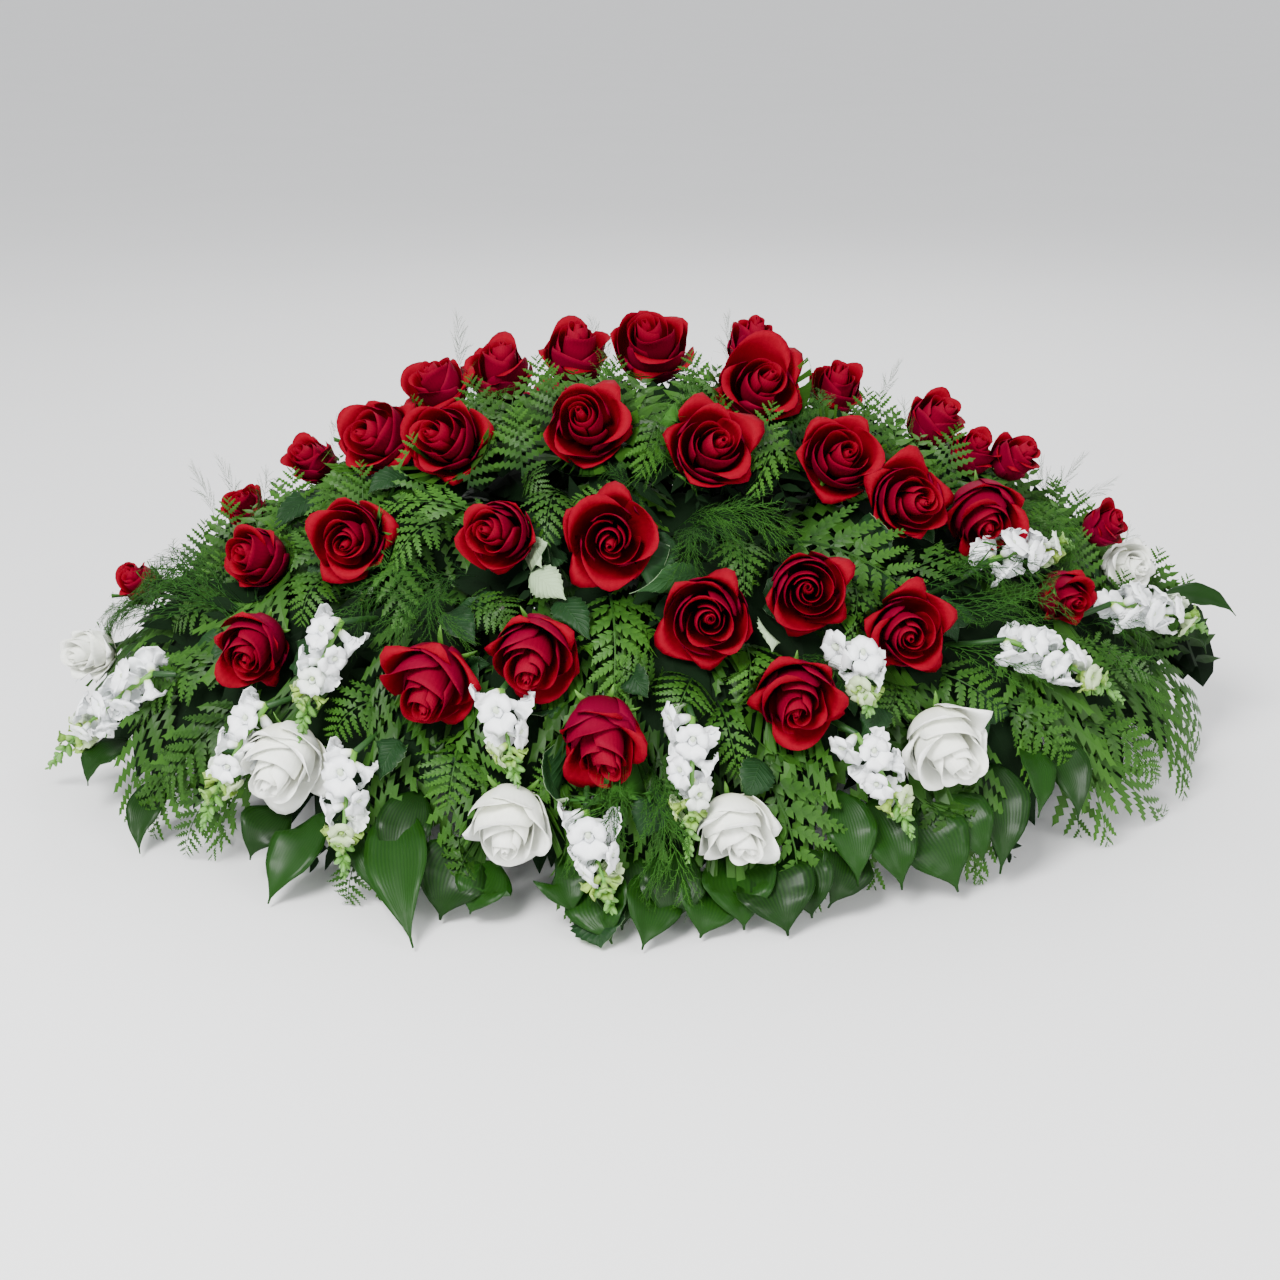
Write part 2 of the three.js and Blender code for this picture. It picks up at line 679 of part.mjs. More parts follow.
function addSnapdragon(number, base, tip) {
  const off = shellNormal(base.clone().lerp(tip, 0.5));
  const path = [base, base.clone().lerp(tip, 0.5).addScaledVector(off, HEAD_ARCH), tip].map((p) =>
    p.clone().addScaledVector(off, HEAD_LIFT),
  );
  path.forEach((p) => p.setZ(Math.max(p.z, HEAD_FLOOR)));
  const name = "snapdragon_" + String(number).padStart(2, "0");
  const [low, middle, high] = path;
  const shapes = [snapdragon(path, FLORET_REACH, number)];
  blooms.push({ kind: "snapdragon", name, number, heart: middle, reach: low.distanceTo(high) / 2, shapes });
  const along = new THREE.CatmullRomCurve3(path).getTangentAt(0);
  const end = low.clone().addScaledVector(along, -SEAT_GAP);
  wanted.push({ end, axis: along, calyx: 0, own: blooms.at(-1) });
}
SNAPDRAGONS.forEach(([across, down, tipAcross, tipDown], i) =>
  addSnapdragon(i + 1, seenAt(across, down), seenAt(tipAcross, tipDown)),
);
BACK_SNAPDRAGONS.forEach(([angle, share], i) =>
  addSnapdragon(SNAPDRAGONS.length + i + 1, onShell(angle, share), onShell(angle, share + BACK_HEAD_SHARE)),
);

// Stems run straight from the bunch where they can, and else bend round the blooms
const BLOOM_CORE = 44; // the most that a stem keeps from a bloom's heart
const ELBOW_STEP = 15; // by which a bend is tried further out
const ELBOW_MOST = 120;
const ELBOW_SHARES = [0.5, 0.7, 0.85]; // of the way, where it is tried
const stretchDistance = (p, from, to) =>
  new THREE.Line3(from, to).closestPointToPoint(p, true, V(0, 0, 0)).distanceTo(p);
function isClear(path, own) {
  return blooms.every(
    ({ heart, reach, ...bloom }) =>
      bloom.name === own.name ||
      path
        .slice(1)
        .every((p, i) => stretchDistance(heart, path[i], p) > Math.min(reach, BLOOM_CORE) + 2 * STEM),
  );
}
function clearRoute(start, end, own) {
  if (isClear([start, end], own)) return [start, end];
  const along = end.clone().sub(start).normalize();
  for (let radius = ELBOW_STEP; radius < ELBOW_MOST; radius += ELBOW_STEP) {
    for (const share of ELBOW_SHARES) {
      const middle = start.clone().lerp(end, share);
      const around = ringAbout(middle, along, 8, 0, () => ({ radius, height: 0 }));
      const elbow = around.find(
        (p) => sectorOf(p) === sectorOf(end) && p.z < middle.z + 5 && isClear([start, p, end], own),
      );
      if (elbow) return [start, elbow, end];
    }
  }
  return [start, end];
}
for (const { end, axis, calyx, own } of wanted) {
  const path = clearRoute(startOf(end), end, own);
  greens[sectorOf(end)].stems.push(stem(path, axis, calyx));
}

// Fronds, leaves and plumes
const FROND_PAIRS = 6;
const addBlade = (sector, patch) => greens[sector].leaves.push(sheet(within(patch, sector)));

function addFrond(start, angle, from, to, halfWidth, depth) {
  const path = overShell(angle, from, to, depth, start, FROND_PAIRS);
  addBlade(sectorOf(path[0]), frond(path, halfWidth, startOf(path[0])));
}
for (const [start, angle, ...rest] of SIDE_FRONDS) {
  addFrond(start, angle, ...rest);
  addFrond(-start, 180 - angle + TWIN_TURN, ...rest);
}
MIDDLE_FRONDS.forEach((row) => addFrond(...row));

function addLeaf(foot, tip, width) {
  const bulge = shellNormal(foot.clone().lerp(tip, 0.5)).multiplyScalar(LEAF_BELLY);
  const bend = foot.clone().lerp(tip, 0.45).add(bulge);
  const path = new THREE.QuadraticBezierCurve3(foot, bend, tip).getPoints(3);
  addBlade(sectorOf(foot), leaf(path, width, startOf(foot)));
}
BROAD_LEAVES.forEach(([across, down, tipAcross, tipDown, width]) =>
  addLeaf(seenAt(across, down, LEAF_FOOT_DEPTH), seenAt(tipAcross, tipDown, LEAF_TIP_DEPTH), width),
);
BACK_BROAD_LEAVES.forEach(([angle, width]) => {
  const [from, to] = BACK_LEAF_SHARES;
  addLeaf(onShell(angle, from, LEAF_FOOT_DEPTH), onShell(angle, to), width);
});

function addPlume(foot, tip, draw) {
  const sector = sectorOf(foot);
  const off = shellNormal(foot.clone().lerp(tip, 0.5));
  const path = [startOf(foot), foot, foot.clone().lerp(tip, 0.5).addScaledVector(off, PLUME_ARCH), tip];
  greens[sector].leaves.push(within(plume(path, draw), sector));
}
const drawPlume = drawer(11);
PLUMES.forEach(([across, down, tipAcross, tipDown]) =>
  addPlume(seenAt(across, down, PLUME_DEPTH), seenAt(tipAcross, tipDown), drawPlume),
);
BACK_PLUMES.forEach(([angle, from, to]) =>
  addPlume(onShell(angle, from, PLUME_DEPTH), onShell(angle, to), drawPlume),
);

// Materials
const material = (color, roughness) => new THREE.MeshStandardMaterial({ color, roughness, metalness: 0 });
const MATERIALS = {
  red_rose: material(0xb0061c, 0.62),
  white_rose: material(0xf1f0e6, 0.6),
  snapdragon: material(0xeaf0e4, 0.6),
  greenery: material(0x2a5a24, 0.5),
  foam: material(0x2f5a34, 0.95),
  saddle: material(0x1d3a22, 0.45),
};

// A cut solid with its corners on a fine grid, so that no two nearly meet
function onGrid(solid) {
  const { vertProperties, triVerts } = solid.getMesh();
  const geometry = new THREE.BufferGeometry();
  const place = vertProperties.map((v) => Math.round(v / GRID) * GRID);
  geometry.setAttribute("position", new THREE.BufferAttribute(place, 3));
  geometry.setIndex(new THREE.BufferAttribute(triVerts, 1));
  const merged = mergeVertices(geometry, GRID / 2);
  const index = Array.from(merged.index.array);
  const whole = index.filter((_, i) => new Set(index.slice(i - (i % 3), i - (i % 3) + 3)).size === 3);
  const made = { vertProperties: merged.attributes.position.array, triVerts: new Uint32Array(whole) };
  return new wasm.Manifold(new wasm.Mesh({ numProp: 3, ...made }));
}

// Its largest body, without the scraps that the grid sets loose
function settled(solid) {
  let body = largest(onGrid(solid));
  while (onGrid(body).decompose().length > 1) body = largest(onGrid(body));
  return body;
}

const spray = new THREE.Group();
function addNode(name, solid, finish) {
  const made = settled(solid).getMesh();
  const geometry = new THREE.BufferGeometry();
  geometry.setAttribute("position", new THREE.BufferAttribute(made.vertProperties, 3));
  geometry.setIndex(new THREE.BufferAttribute(made.triVerts, 1));
  geometry.computeVertexNormals();
  const node = new THREE.Mesh(geometry, finish);
  node.name = name;
  spray.add(node);
}

// Roses whose petals cross are one body
const clusters = [];
for (const bloom of blooms) {
  const solid = join(bloom.shapes);
  const touching = clusters.filter((c) => c.kind === bloom.kind && c.solid.intersect(solid).volume() > 0);
  const merged = { kind: bloom.kind, members: [bloom], solid };
  for (const c of touching) {
    merged.members.unshift(...c.members);
    merged.solid = merged.solid.add(c.solid);
    clusters.splice(clusters.indexOf(c), 1);
  }
  clusters.push(merged);
}

// Later kinds make way for earlier ones: red roses, white roses, snapdragons, greenery
const ORDER = ["red_rose", "white_rose", "snapdragon"];
let taken = null;
const make = (kind) => {
  const clear = clusters
    .filter((c) => c.kind === kind)
    .map((c) => ({ ...c, solid: largest(taken ? c.solid.subtract(taken) : c.solid) }));
  const wide = joinGrown(clear.flatMap((c) => c.members.flatMap((m) => m.shapes)));
  taken = taken ? taken.add(wide) : wide;
  return clear;
};
for (const kind of ORDER) {
  for (const c of make(kind)) {
    const names = c.members.map((m) => String(m.number).padStart(2, "0")).join("_");
    addNode(kind + "_" + names, c.solid, MATERIALS[kind]);
  }
}

// Leaves make way for the blooms and for the stems of the other sectors
greens.forEach(({ stems, leaves }, sector) => {
  const others = greens.filter((g) => g !== greens[sector]).flatMap((g) => g.stems);
  const cutLeaves = join(leaves).subtract(joinGrown(others)).subtract(taken);
  addNode("greenery_" + SECTORS[sector], largest(cutLeaves.add(join(stems))), MATERIALS.greenery);
});

// Closed block between two heights, centred on the long and the short axis
function block(length, width, low, high) {
  const corners = (z) =>
    [[1, 1], [-1, 1], [-1, -1], [1, -1]].map(([i, j]) => V((i * length) / 2, (j * width) / 2, z));
  return facesToSolid(loft([[V(0, 0, low)], corners(low), corners(high), [V(0, 0, high)]]));
}
const hollow = [SADDLE.length - 2 * SADDLE.wall, SADDLE.width - 2 * SADDLE.wall];
const tray = block(SADDLE.length, SADDLE.width, 0, SADDLE.rim);
addNode("saddle", tray.subtract(block(...hollow, SADDLE.base, SADDLE.rim + 1)), MATERIALS.saddle);

const holes = greens.map((_, sector) => facesToSolid(bunch(sector, SEAT_GAP)));
const foam = block(FOAM.length, FOAM.width, SADDLE.base + SEAT_GAP, FOAM_TOP);
addNode("foam", foam.subtract(wasm.Manifold.union(holes)), MATERIALS.foam);

export default spray;
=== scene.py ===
# %% [markdown]
# # A casket spray
# This scene dresses a casket spray: a long, low mound of red roses, white roses and white
# snapdragons among fern fronds, fine asparagus plumes, broad leaves and rose leaves. All of
# them stand in wet floral foam in a flat plastic saddle. The CAD model gives every flower and
# frond its place and size; here each one gets its petals, leaflets, needles and finish.

# %% Load the fixed frame
import math

import bpy
import numpy as np
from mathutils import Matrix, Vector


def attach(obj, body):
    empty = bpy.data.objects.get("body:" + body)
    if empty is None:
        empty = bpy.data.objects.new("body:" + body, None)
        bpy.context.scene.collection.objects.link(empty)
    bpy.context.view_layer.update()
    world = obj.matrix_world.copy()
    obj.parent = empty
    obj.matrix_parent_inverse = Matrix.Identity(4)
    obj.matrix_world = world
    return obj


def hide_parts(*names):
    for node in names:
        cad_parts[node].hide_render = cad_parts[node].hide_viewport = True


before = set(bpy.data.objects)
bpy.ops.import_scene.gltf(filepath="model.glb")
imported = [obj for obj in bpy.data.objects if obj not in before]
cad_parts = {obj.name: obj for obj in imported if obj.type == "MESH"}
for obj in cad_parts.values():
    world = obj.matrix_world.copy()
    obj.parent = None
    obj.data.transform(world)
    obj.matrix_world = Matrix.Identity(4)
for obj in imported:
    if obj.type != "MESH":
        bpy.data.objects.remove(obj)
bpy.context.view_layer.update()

GREENERY = sorted(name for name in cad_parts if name.startswith("greenery"))

# %% [markdown]
# ## The mound's shell
# The flowers of a spray are cut to end on one smooth, imaginary surface. It is a soft
# half-egg: long from left to right, fuller at the front than at the back. The CAD model places
# its flowers on that same surface, so the same few numbers place the finer pieces here.

# %% Shell of the mound, in metres
HALF_LENGTH = 0.535
FRONT_DEPTH = 0.372
BACK_DEPTH = 0.300
CROWN = 0.352
BEND = (1.6, 2.1, 1.5)
FLOOR_GAP = 0.004
SLOPE_STEP = 0.002
Z_AXIS = np.array([0.0, 0.0, 1.0])


def unit(vectors):
    return vectors / np.maximum(np.linalg.norm(vectors, axis=-1, keepdims=True), 1e-9)


def reach_at(y):
    """How far the shell reaches from its long axis, to the front or to the back"""
    return np.where(y < 0, FRONT_DEPTH, BACK_DEPTH)


def shell_value(points, depth=1.0):
    """1 on the shell, less inside it and more outside"""
    reach = reach_at(points[..., 1])
    return (
        np.abs(points[..., 0] / (HALF_LENGTH * depth)) ** BEND[0]
        + np.abs(points[..., 1] / (reach * depth)) ** BEND[1]
        + np.maximum(points[..., 2] / (CROWN * depth), 0) ** BEND[2]
    )


def shell_normal(points):
    """Direction away from the mound"""
    slopes = [
        shell_value(points + SLOPE_STEP * side) - shell_value(points - SLOPE_STEP * side)
        for side in np.eye(3)
    ]
    return unit(np.stack(slopes, axis=-1))


def height_at(x, y, depth=1.0):
    """Height of the shell over a place on the floor"""
    left = 1 - np.abs(x / (HALF_LENGTH * depth)) ** BEND[0] - np.abs(y / (reach_at(y) * depth)) ** BEND[1]
    return CROWN * depth * np.maximum(left, 0) ** (1 / BEND[2])


# %% Places on the shell, by direction or by what the eye sees
EYE = np.array([0.0, -1.683, 0.717])
LOOK_DOWN = math.radians(20)
FOCAL = 1955
MIDDLE = 640
PICTURE = 1280
RIGHT = np.array([1.0, 0.0, 0.0])
UP = np.array([0.0, math.sin(LOOK_DOWN), math.cos(LOOK_DOWN)])
AHEAD = np.array([0.0, math.cos(LOOK_DOWN), -math.sin(LOOK_DOWN)])
STRIDE = 0.002
LONGEST_REACH = 1.2
SIGHT_SPAN = (1.15, 2.15)
LEAST_AHEAD = 0.04


def on_shell(degrees, share, depth=1.0, start=0.0):
    """Point at a share of the way from the long axis to the mound's foot"""
    turn = math.radians(degrees)
    reaches = np.arange(0, LONGEST_REACH, STRIDE)
    heights = height_at(start + reaches * math.cos(turn), reaches * math.sin(turn))
    far = reaches[np.argmax(heights <= 0)]
    x = start + far * share * depth * math.cos(turn)
    y = far * share * depth * math.sin(turn)
    return np.array([x, y, max(float(height_at(x, y, depth)), 2 * FLOOR_GAP)])


def sight_line(across, down):
    """Direction in which the eye sees a pixel"""
    return AHEAD + RIGHT * (across - MIDDLE) / FOCAL + UP * (MIDDLE - down) / FOCAL


def seen_at(across, down, depth=1.0):
    """Point where the sight line through a pixel first meets the shell, or comes nearest"""
    points = EYE + np.arange(*SIGHT_SPAN, STRIDE)[:, None] * sight_line(across, down)
    values = shell_value(points, depth)
    met = np.nonzero((points[:, 2] < FLOOR_GAP) | (values < 1))[0]
    end = max(met[0], 1) if len(met) else len(points)
    return points[np.argmin(values[:end])]


def facing(lean, rise):
    """Direction that leans right and up in the front view, and else points at the eye"""
    return unit(RIGHT * lean + UP * rise - AHEAD * math.sqrt(max(1 - lean**2 - rise**2, LEAST_AHEAD)))


print("crown of the shell seen at", seen_at(640, 360).round(3))

# %% [markdown]
# ## Camera, light and floor
# The view is the florist's: a little above the spray, from the front. A big soft light above
# and a pale floor and sky keep the shadows open, as on an overcast day.

# %% Camera
SENSOR = 36.0
camera_data = bpy.data.cameras.new("front_camera")
camera_data.sensor_fit = "HORIZONTAL"
camera_data.sensor_width = SENSOR
camera_data.lens = SENSOR * FOCAL / PICTURE
camera_data.clip_start = 0.05
camera = bpy.data.objects.new("front_camera", camera_data)
camera.location = EYE
camera.rotation_euler = (math.pi / 2 - LOOK_DOWN, 0, 0)
bpy.context.scene.collection.objects.link(camera)
bpy.context.scene.camera = camera
print("lens", round(camera_data.lens, 2), "mm")


# %% Soft lights and pale surroundings
SPRAY_MIDDLE = (0, -0.05, 0.15)


def add_softbox(name, place, size, power):
    """A round, soft light that points at the middle of the spray"""
    data = bpy.data.lights.new(name, "AREA")
    data.shape = "DISK"
    data.size = size
    data.energy = power
    light = bpy.data.objects.new(name, data)
    light.location = place
    from_target = Vector(place) - Vector(SPRAY_MIDDLE)
    light.rotation_euler = from_target.to_track_quat("Z", "Y").to_euler()
    bpy.context.scene.collection.objects.link(light)


add_softbox("key_light", (-0.9, -1.9, 2.1), 1.1, 150)
add_softbox("fill_light", (1.5, -2.2, 1.0), 1.4, 40)
add_softbox("back_light", (0.3, 1.9, 2.0), 1.6, 32)

world = bpy.data.worlds.new("pale_sky")
world.use_nodes = True
sky = world.node_tree.nodes["Background"]
sky.inputs["Color"].default_value = (0.97, 0.98, 1.0, 1)
sky.inputs["Strength"].default_value = 1.05
bpy.context.scene.world = world
print("3 soft lights and a pale sky")

# %% [markdown]
# ## Shader and geometry maths in plain Python
# Both shaders and Geometry Nodes are graphs of small sums. Wrapping a socket in a class lets
# those sums be written as Python expressions: each operator adds one Math node. One method
# adds any other node, with its settings first and then its values and links.


# %% A wire that can be added and multiplied, and the graph that it runs in
class Wire:
    """An output socket that takes part in sums, as a number does"""

    def __init__(self, graph, socket):
        self.graph = graph
        self.socket = socket

    def maths(self, operation, *values):
        return self.graph.node("ShaderNodeMath", dict(enumerate(values)), operation=operation)

    def __add__(self, other):
        return self.maths("ADD", self, other)

    def __radd__(self, other):
        return self.maths("ADD", other, self)

    def __sub__(self, other):
        return self.maths("SUBTRACT", self, other)

    def __rsub__(self, other):
        return self.maths("SUBTRACT", other, self)

    def __mul__(self, other):
        return self.maths("MULTIPLY", self, other)

    def __rmul__(self, other):
        return self.maths("MULTIPLY", other, self)

    def __truediv__(self, other):
        return self.maths("DIVIDE", self, other)

    def __pow__(self, other):
        return self.maths("POWER", self, other)

    def size(self):
        return self.maths("ABSOLUTE", self)

    def wave(self):
        return self.maths("SINE", self)


class Graph:
    """A node tree, with one method that adds any node"""

    def __init__(self, tree):
        self.tree = tree

    def node(self, kind, inputs=None, output=0, stops=None, **settings):
        made = self.tree.nodes.new(kind)
        for name, value in settings.items():
            setattr(made, name, value)
        if stops:
            ramp = made.color_ramp
            while len(ramp.elements) < len(stops):
                ramp.elements.new(0.5)
            for element, (place, color) in zip(ramp.elements, stops):
                element.position = place
                element.color = (*color, 1)
        for name, value in (inputs or {}).items():
            for each in value if isinstance(value, list) else [value]:
                if isinstance(each, Wire):
                    self.tree.links.new(each.socket, made.inputs[name])
                else:
                    made.inputs[name].default_value = each
        return Wire(self, made.outputs[output]) if made.outputs else None


# %% A finish: one material, its surface values and its shader
BLACK = (0, 0, 0)
WHITE = (1, 1, 1)


class Finish(Graph):
    """A material whose patterns follow the values that its pieces carry"""

    def __init__(self, name):
        self.material = bpy.data.materials.new(name)
        self.material.use_nodes = True
        super().__init__(self.material.node_tree)
        self.tree.nodes.clear()

    def value(self, name):
        """A value that the piece's own points carry, such as how far along a leaf they are"""
        return self.node("ShaderNodeAttribute", output="Fac", attribute_name=name)

    def place(self):
        return self.node("ShaderNodeTexCoord", output="Object")

    def noise(self, scale, detail=2.0):
        inputs = {"Vector": self.place(), "Scale": scale, "Detail": detail}
        return self.node("ShaderNodeTexNoise", inputs)

    def mix(self, share, first, second):
        """Mix of two colours, each a wire or three numbers"""
        first = first if isinstance(first, Wire) else (*first, 1)
        second = second if isinstance(second, Wire) else (*second, 1)
        inputs = {0: share, 6: first, 7: second}
        return self.node("ShaderNodeMix", inputs, output=2, data_type="RGBA")

    def ramp(self, share, *stops):
        return self.node("ShaderNodeValToRGB", {"Fac": share}, stops=stops)

    def rise(self, share, low, high):
        """0 up to one share, 1 from the other on"""
        return self.ramp(share, (low, BLACK), (high, WHITE))

    def bump(self, height, strength, distance):
        inputs = {"Height": height, "Strength": strength, "Distance": distance}
        return self.node("ShaderNodeBump", inputs)

    def finish(self, **inputs):
        """Shader of the surface; a name's underscores stand for spaces"""
        inputs = {name.replace("_", " "): value for name, value in inputs.items()}
        shader = self.node("ShaderNodeBsdfPrincipled", inputs)
        self.node("ShaderNodeOutputMaterial", {"Surface": shader})
        return self.material


# %% [markdown]
# ## Finish of petals
# A red rose petal is velvety: scarlet on its face, cooler crimson on its back, with fine veins
# that fan out to the lip. Towards its foot it turns near-black, which is painted shade deep in
# the heart; a white petal's foot turns cream-green, its own colour. A plain red would look like
# plastic. So every petal's points carry how far along and across it they are and on which side,
# and the colours are mixed from those values. Each petal also has a tone of its own.


# %% Red and white petals
PETAL_VEINS = 42
VEIN_WANDER = 7
PETAL_RELIEF = 0.0006


def petal_finish(name, foot, face, back, lip, shine):
    made = Finish(name)
    along = made.value("along")
    across = made.value("across")
    under = made.value("under")
    tone = made.value("tone")
    soft = made.noise(28.0, 3.0)
    veins = ((across * PETAL_VEINS + soft * VEIN_WANDER).wave() * 0.5 + 0.5) * along
    color = made.mix(under * (made.value("ripe") * 0.75 + 0.25), face, back)
    # Towards the foot, the foot colour: on red a near-black painted shade deep in the heart, on white a real
    # cream-green
    foot_shade_and_tint = made.ramp(along + tone * 0.12, (0.12, WHITE), (0.62, BLACK))
    color = made.mix(foot_shade_and_tint * 0.8, color, foot)
    color = made.mix(made.rise(along, 0.93, 1.0) * 0.45, color, lip)
    color = made.mix((soft - 0.35) * 0.35 + veins * 0.06, color, foot)
    return made.finish(
        Base_Color=color,
        Roughness=0.5 + soft * 0.25,
        Normal=made.bump(veins * 0.6 + soft * 0.6, 0.25, PETAL_RELIEF),
        Specular_IOR_Level=shine,
    )


# Colours of the foot (on red a near-black painted shade, on white a real cream-green), the face, the back and
# the lip, then the shine
RED_PETAL = petal_finish(
    "red_petal", (0.05, 0.0, 0.002), (0.205, 0.0, 0.009), (0.145, 0.0, 0.017), (0.17, 0.0, 0.010), 0.04
)
WHITE_PETAL = petal_finish(
    "white_petal", (0.74, 0.76, 0.50), (0.94, 0.95, 0.92), (0.90, 0.92, 0.84), (0.88, 0.89, 0.82), 0.2
)
print("petal finishes", RED_PETAL.name, WHITE_PETAL.name)

# %% [markdown]
# ## Finish of florets
# A snapdragon floret is cool white with a green-yellow throat, and the buds above it turn from
# yellow-green to green. The points carry how green they are, and how near the tip of the head.


# %% Snapdragon florets and buds
def floret_finish():
    made = Finish("snapdragon_floret")
    soft = made.noise(60.0)
    green = made.value("under") + made.rise(made.value("ripe"), 0.10, 0.55)
    white = made.mix(soft, (0.88, 0.91, 0.94), (0.96, 0.97, 0.97))
    color = made.mix(made.rise(green, 0.05, 0.55), white, (0.27, 0.43, 0.045))
    color = made.mix(made.rise(green, 0.6, 1.0), color, (0.085, 0.25, 0.02))
    # Grey-blue in noise patches, stronger further along each lobe, is painted shade on the white
    color = made.mix((soft * made.value("along")) * 0.1, color, (0.62, 0.70, 0.76))
    return made.finish(
        Base_Color=color,
        Roughness=0.5,
        Normal=made.bump(soft, 0.3, 0.0008),
        Sheen_Weight=0.05,
        Specular_IOR_Level=0.4,
    )


FLORET = floret_finish()
print("floret finish", FLORET.name)

# %% [markdown]
# ## Finishes of leaves
# Leaves differ in gloss more than in colour. Leatherleaf is waxy and mid green, broad leaves
# shine and show parallel veins, rose leaves are matt with a pale underside, and plume needles
# are fine and bright. One function makes them all: a deep and a bright green are mixed by the
# plant's own tone, by noise and along the leaf, and the veins go into the bump.


# %% Leaf greens
BROAD_VEINS = 55
SIDE_VEINS = 62
VEIN_SLANT = 16


def leaf_finish(name, deep, bright, tip, pale, rough, coat=0.0, vein=None, relief=0.0006, shine=0.3):
    made = Finish(name)
    tone = made.value("tone")
    soft = made.noise(34.0)
    color = made.mix(tone * 0.7 + soft * 0.5 - 0.1, deep, bright)
    ripe = made.value("ripe") * 0.5 + made.value("along") * 0.3
    color = made.mix(ripe * (0.4 + tone * 0.6), color, tip)
    height = soft * 0.5
    if vein:
        lines = vein(made)
        color = made.mix(lines * 0.22, color, tip)
        height = height + lines
    color = made.mix(made.value("under"), color, pale)
    return made.finish(
        Base_Color=color,
        Roughness=rough + soft * 0.18,
        Normal=made.bump(height, 0.5, relief),
        Coat_Weight=coat,
        Coat_Roughness=0.22,
        Specular_IOR_Level=shine,
    )


def parallel_veins(made):
    return (made.value("across") * BROAD_VEINS).wave() * 0.5 + 0.5


def feather_veins(made):
    across = made.value("across").size()
    side = ((made.value("along") * SIDE_VEINS - across * VEIN_SLANT).wave() * 0.5 + 0.5) ** 6
    midrib = 1 - across * 14
    return side + midrib.maths("MAXIMUM", midrib, 0)


# Deep and bright green, tip, underside, roughness, and what a kind has of its own
FERN = leaf_finish(
    "fern_green", (0.001, 0.007, 0.001), (0.006, 0.035, 0.003), (0.078, 0.235, 0.022),
    (0.08, 0.17, 0.06), 0.4, coat=0.02, shine=0.12,
)
# Near-black green of the under-layer and its plain leaves: painted shade deep inside the mound
PAINTED_SHADE_FERN = leaf_finish(
    "under_fern_green", (0.001, 0.005, 0.001), (0.002, 0.014, 0.002), (0.004, 0.022, 0.003),
    (0.003, 0.014, 0.003), 0.75, shine=0.1,
)
PLUME = leaf_finish(
    "plume_green", (0.004, 0.032, 0.004), (0.018, 0.088, 0.008), (0.06, 0.19, 0.018),
    (0.1, 0.2, 0.05), 0.6, shine=0.15,
)
BROAD = leaf_finish(
    "broad_leaf_green", (0.001, 0.006, 0.001), (0.005, 0.034, 0.002), (0.016, 0.066, 0.004),
    (0.03, 0.09, 0.02), 0.32, coat=0.04, vein=parallel_veins, relief=0.00015, shine=0.12,
)
ROSE_LEAF = leaf_finish(
    "rose_leaf_green", (0.002, 0.017, 0.003), (0.008, 0.042, 0.007), (0.015, 0.06, 0.01),
    (0.30, 0.42, 0.24), 0.5, vein=feather_veins, shine=0.2,
)
STEM_GREEN = leaf_finish(
    "stem_green", (0.006, 0.035, 0.005), (0.03, 0.11, 0.012), (0.12, 0.30, 0.03),
    (0.1, 0.2, 0.05), 0.45, coat=0.05,
)
print("leaf finishes", [finish.name for finish in (FERN, PAINTED_SHADE_FERN, PLUME, BROAD, ROSE_LEAF, STEM_GREEN)])

# %% [markdown]
# ## Foam, saddle and floor
# Wet floral foam is dark green with fine pores, and crumbles along its edges. The saddle is
# moulded plastic with a satin skin and faint flow marks. Both keep their CAD shapes, because
# flat faces are right for them, and get these finishes. The floor is plain and pale.


# %% Foam and saddle
def foam_finish():
    made = Finish("wet_foam")
    pores = made.node("ShaderNodeTexVoronoi", {"Vector": made.place(), "Scale": 900.0}, output="Distance")
    damp = made.noise(9.0, 4.0)
    color = made.mix(pores * 1.2, (0.012, 0.05, 0.016), (0.045, 0.14, 0.05))
    color = made.mix(damp * 0.6, color, (0.02, 0.075, 0.03))
    return made.finish(Base_Color=color, Roughness=0.95 - damp * 0.35, Normal=made.bump(pores, 0.8, 0.001))


def saddle_finish():
    made = Finish("saddle_plastic")
    grain = made.noise(700.0)
    flow = made.noise(6.0, 3.0)
    color = made.mix(flow, (0.012, 0.05, 0.018), (0.022, 0.075, 0.028))
    return made.finish(Base_Color=color, Roughness=0.3 + grain * 0.2, Normal=made.bump(grain, 0.2, 0.0003))


for node_name, finish in (("foam", foam_finish()), ("saddle", saddle_finish())):
    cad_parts[node_name].data.materials.clear()
    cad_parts[node_name].data.materials.append(finish)
print("foam and saddle finished")


# %% Floor
def floor_finish():
    made = Finish("pale_floor")
    color = made.mix(made.noise(3.0, 3.0), (0.86, 0.86, 0.86), (0.89, 0.89, 0.89))
    return made.finish(Base_Color=color, Roughness=0.9)


FLOOR_HALF = 24.0
floor_mesh = bpy.data.meshes.new("floor")
floor_corners = [(x * FLOOR_HALF, y * FLOOR_HALF, 0) for x, y in ((-1, -1), (1, -1), (1, 1), (-1, 1))]
floor_mesh.from_pydata(floor_corners, [], [(0, 1, 2, 3)])
floor_mesh.materials.append(floor_finish())
floor = bpy.data.objects.new("floor", floor_mesh)
bpy.context.scene.collection.objects.link(floor)
print("floor", 2 * FLOOR_HALF, "m wide")

# %% [markdown]
# ## Shapes as arrays
# A spray has a million faces, so its pieces are made as arrays of points, not face by face. A
# shape holds its points, its faces and the values that the finishes read. Thin things such as
# petals are made as a grid of points, then given a thickness, which closes them.


# %% Shape, and the ways to make and join one
VALUES = ("across", "along", "under", "tone", "ripe")


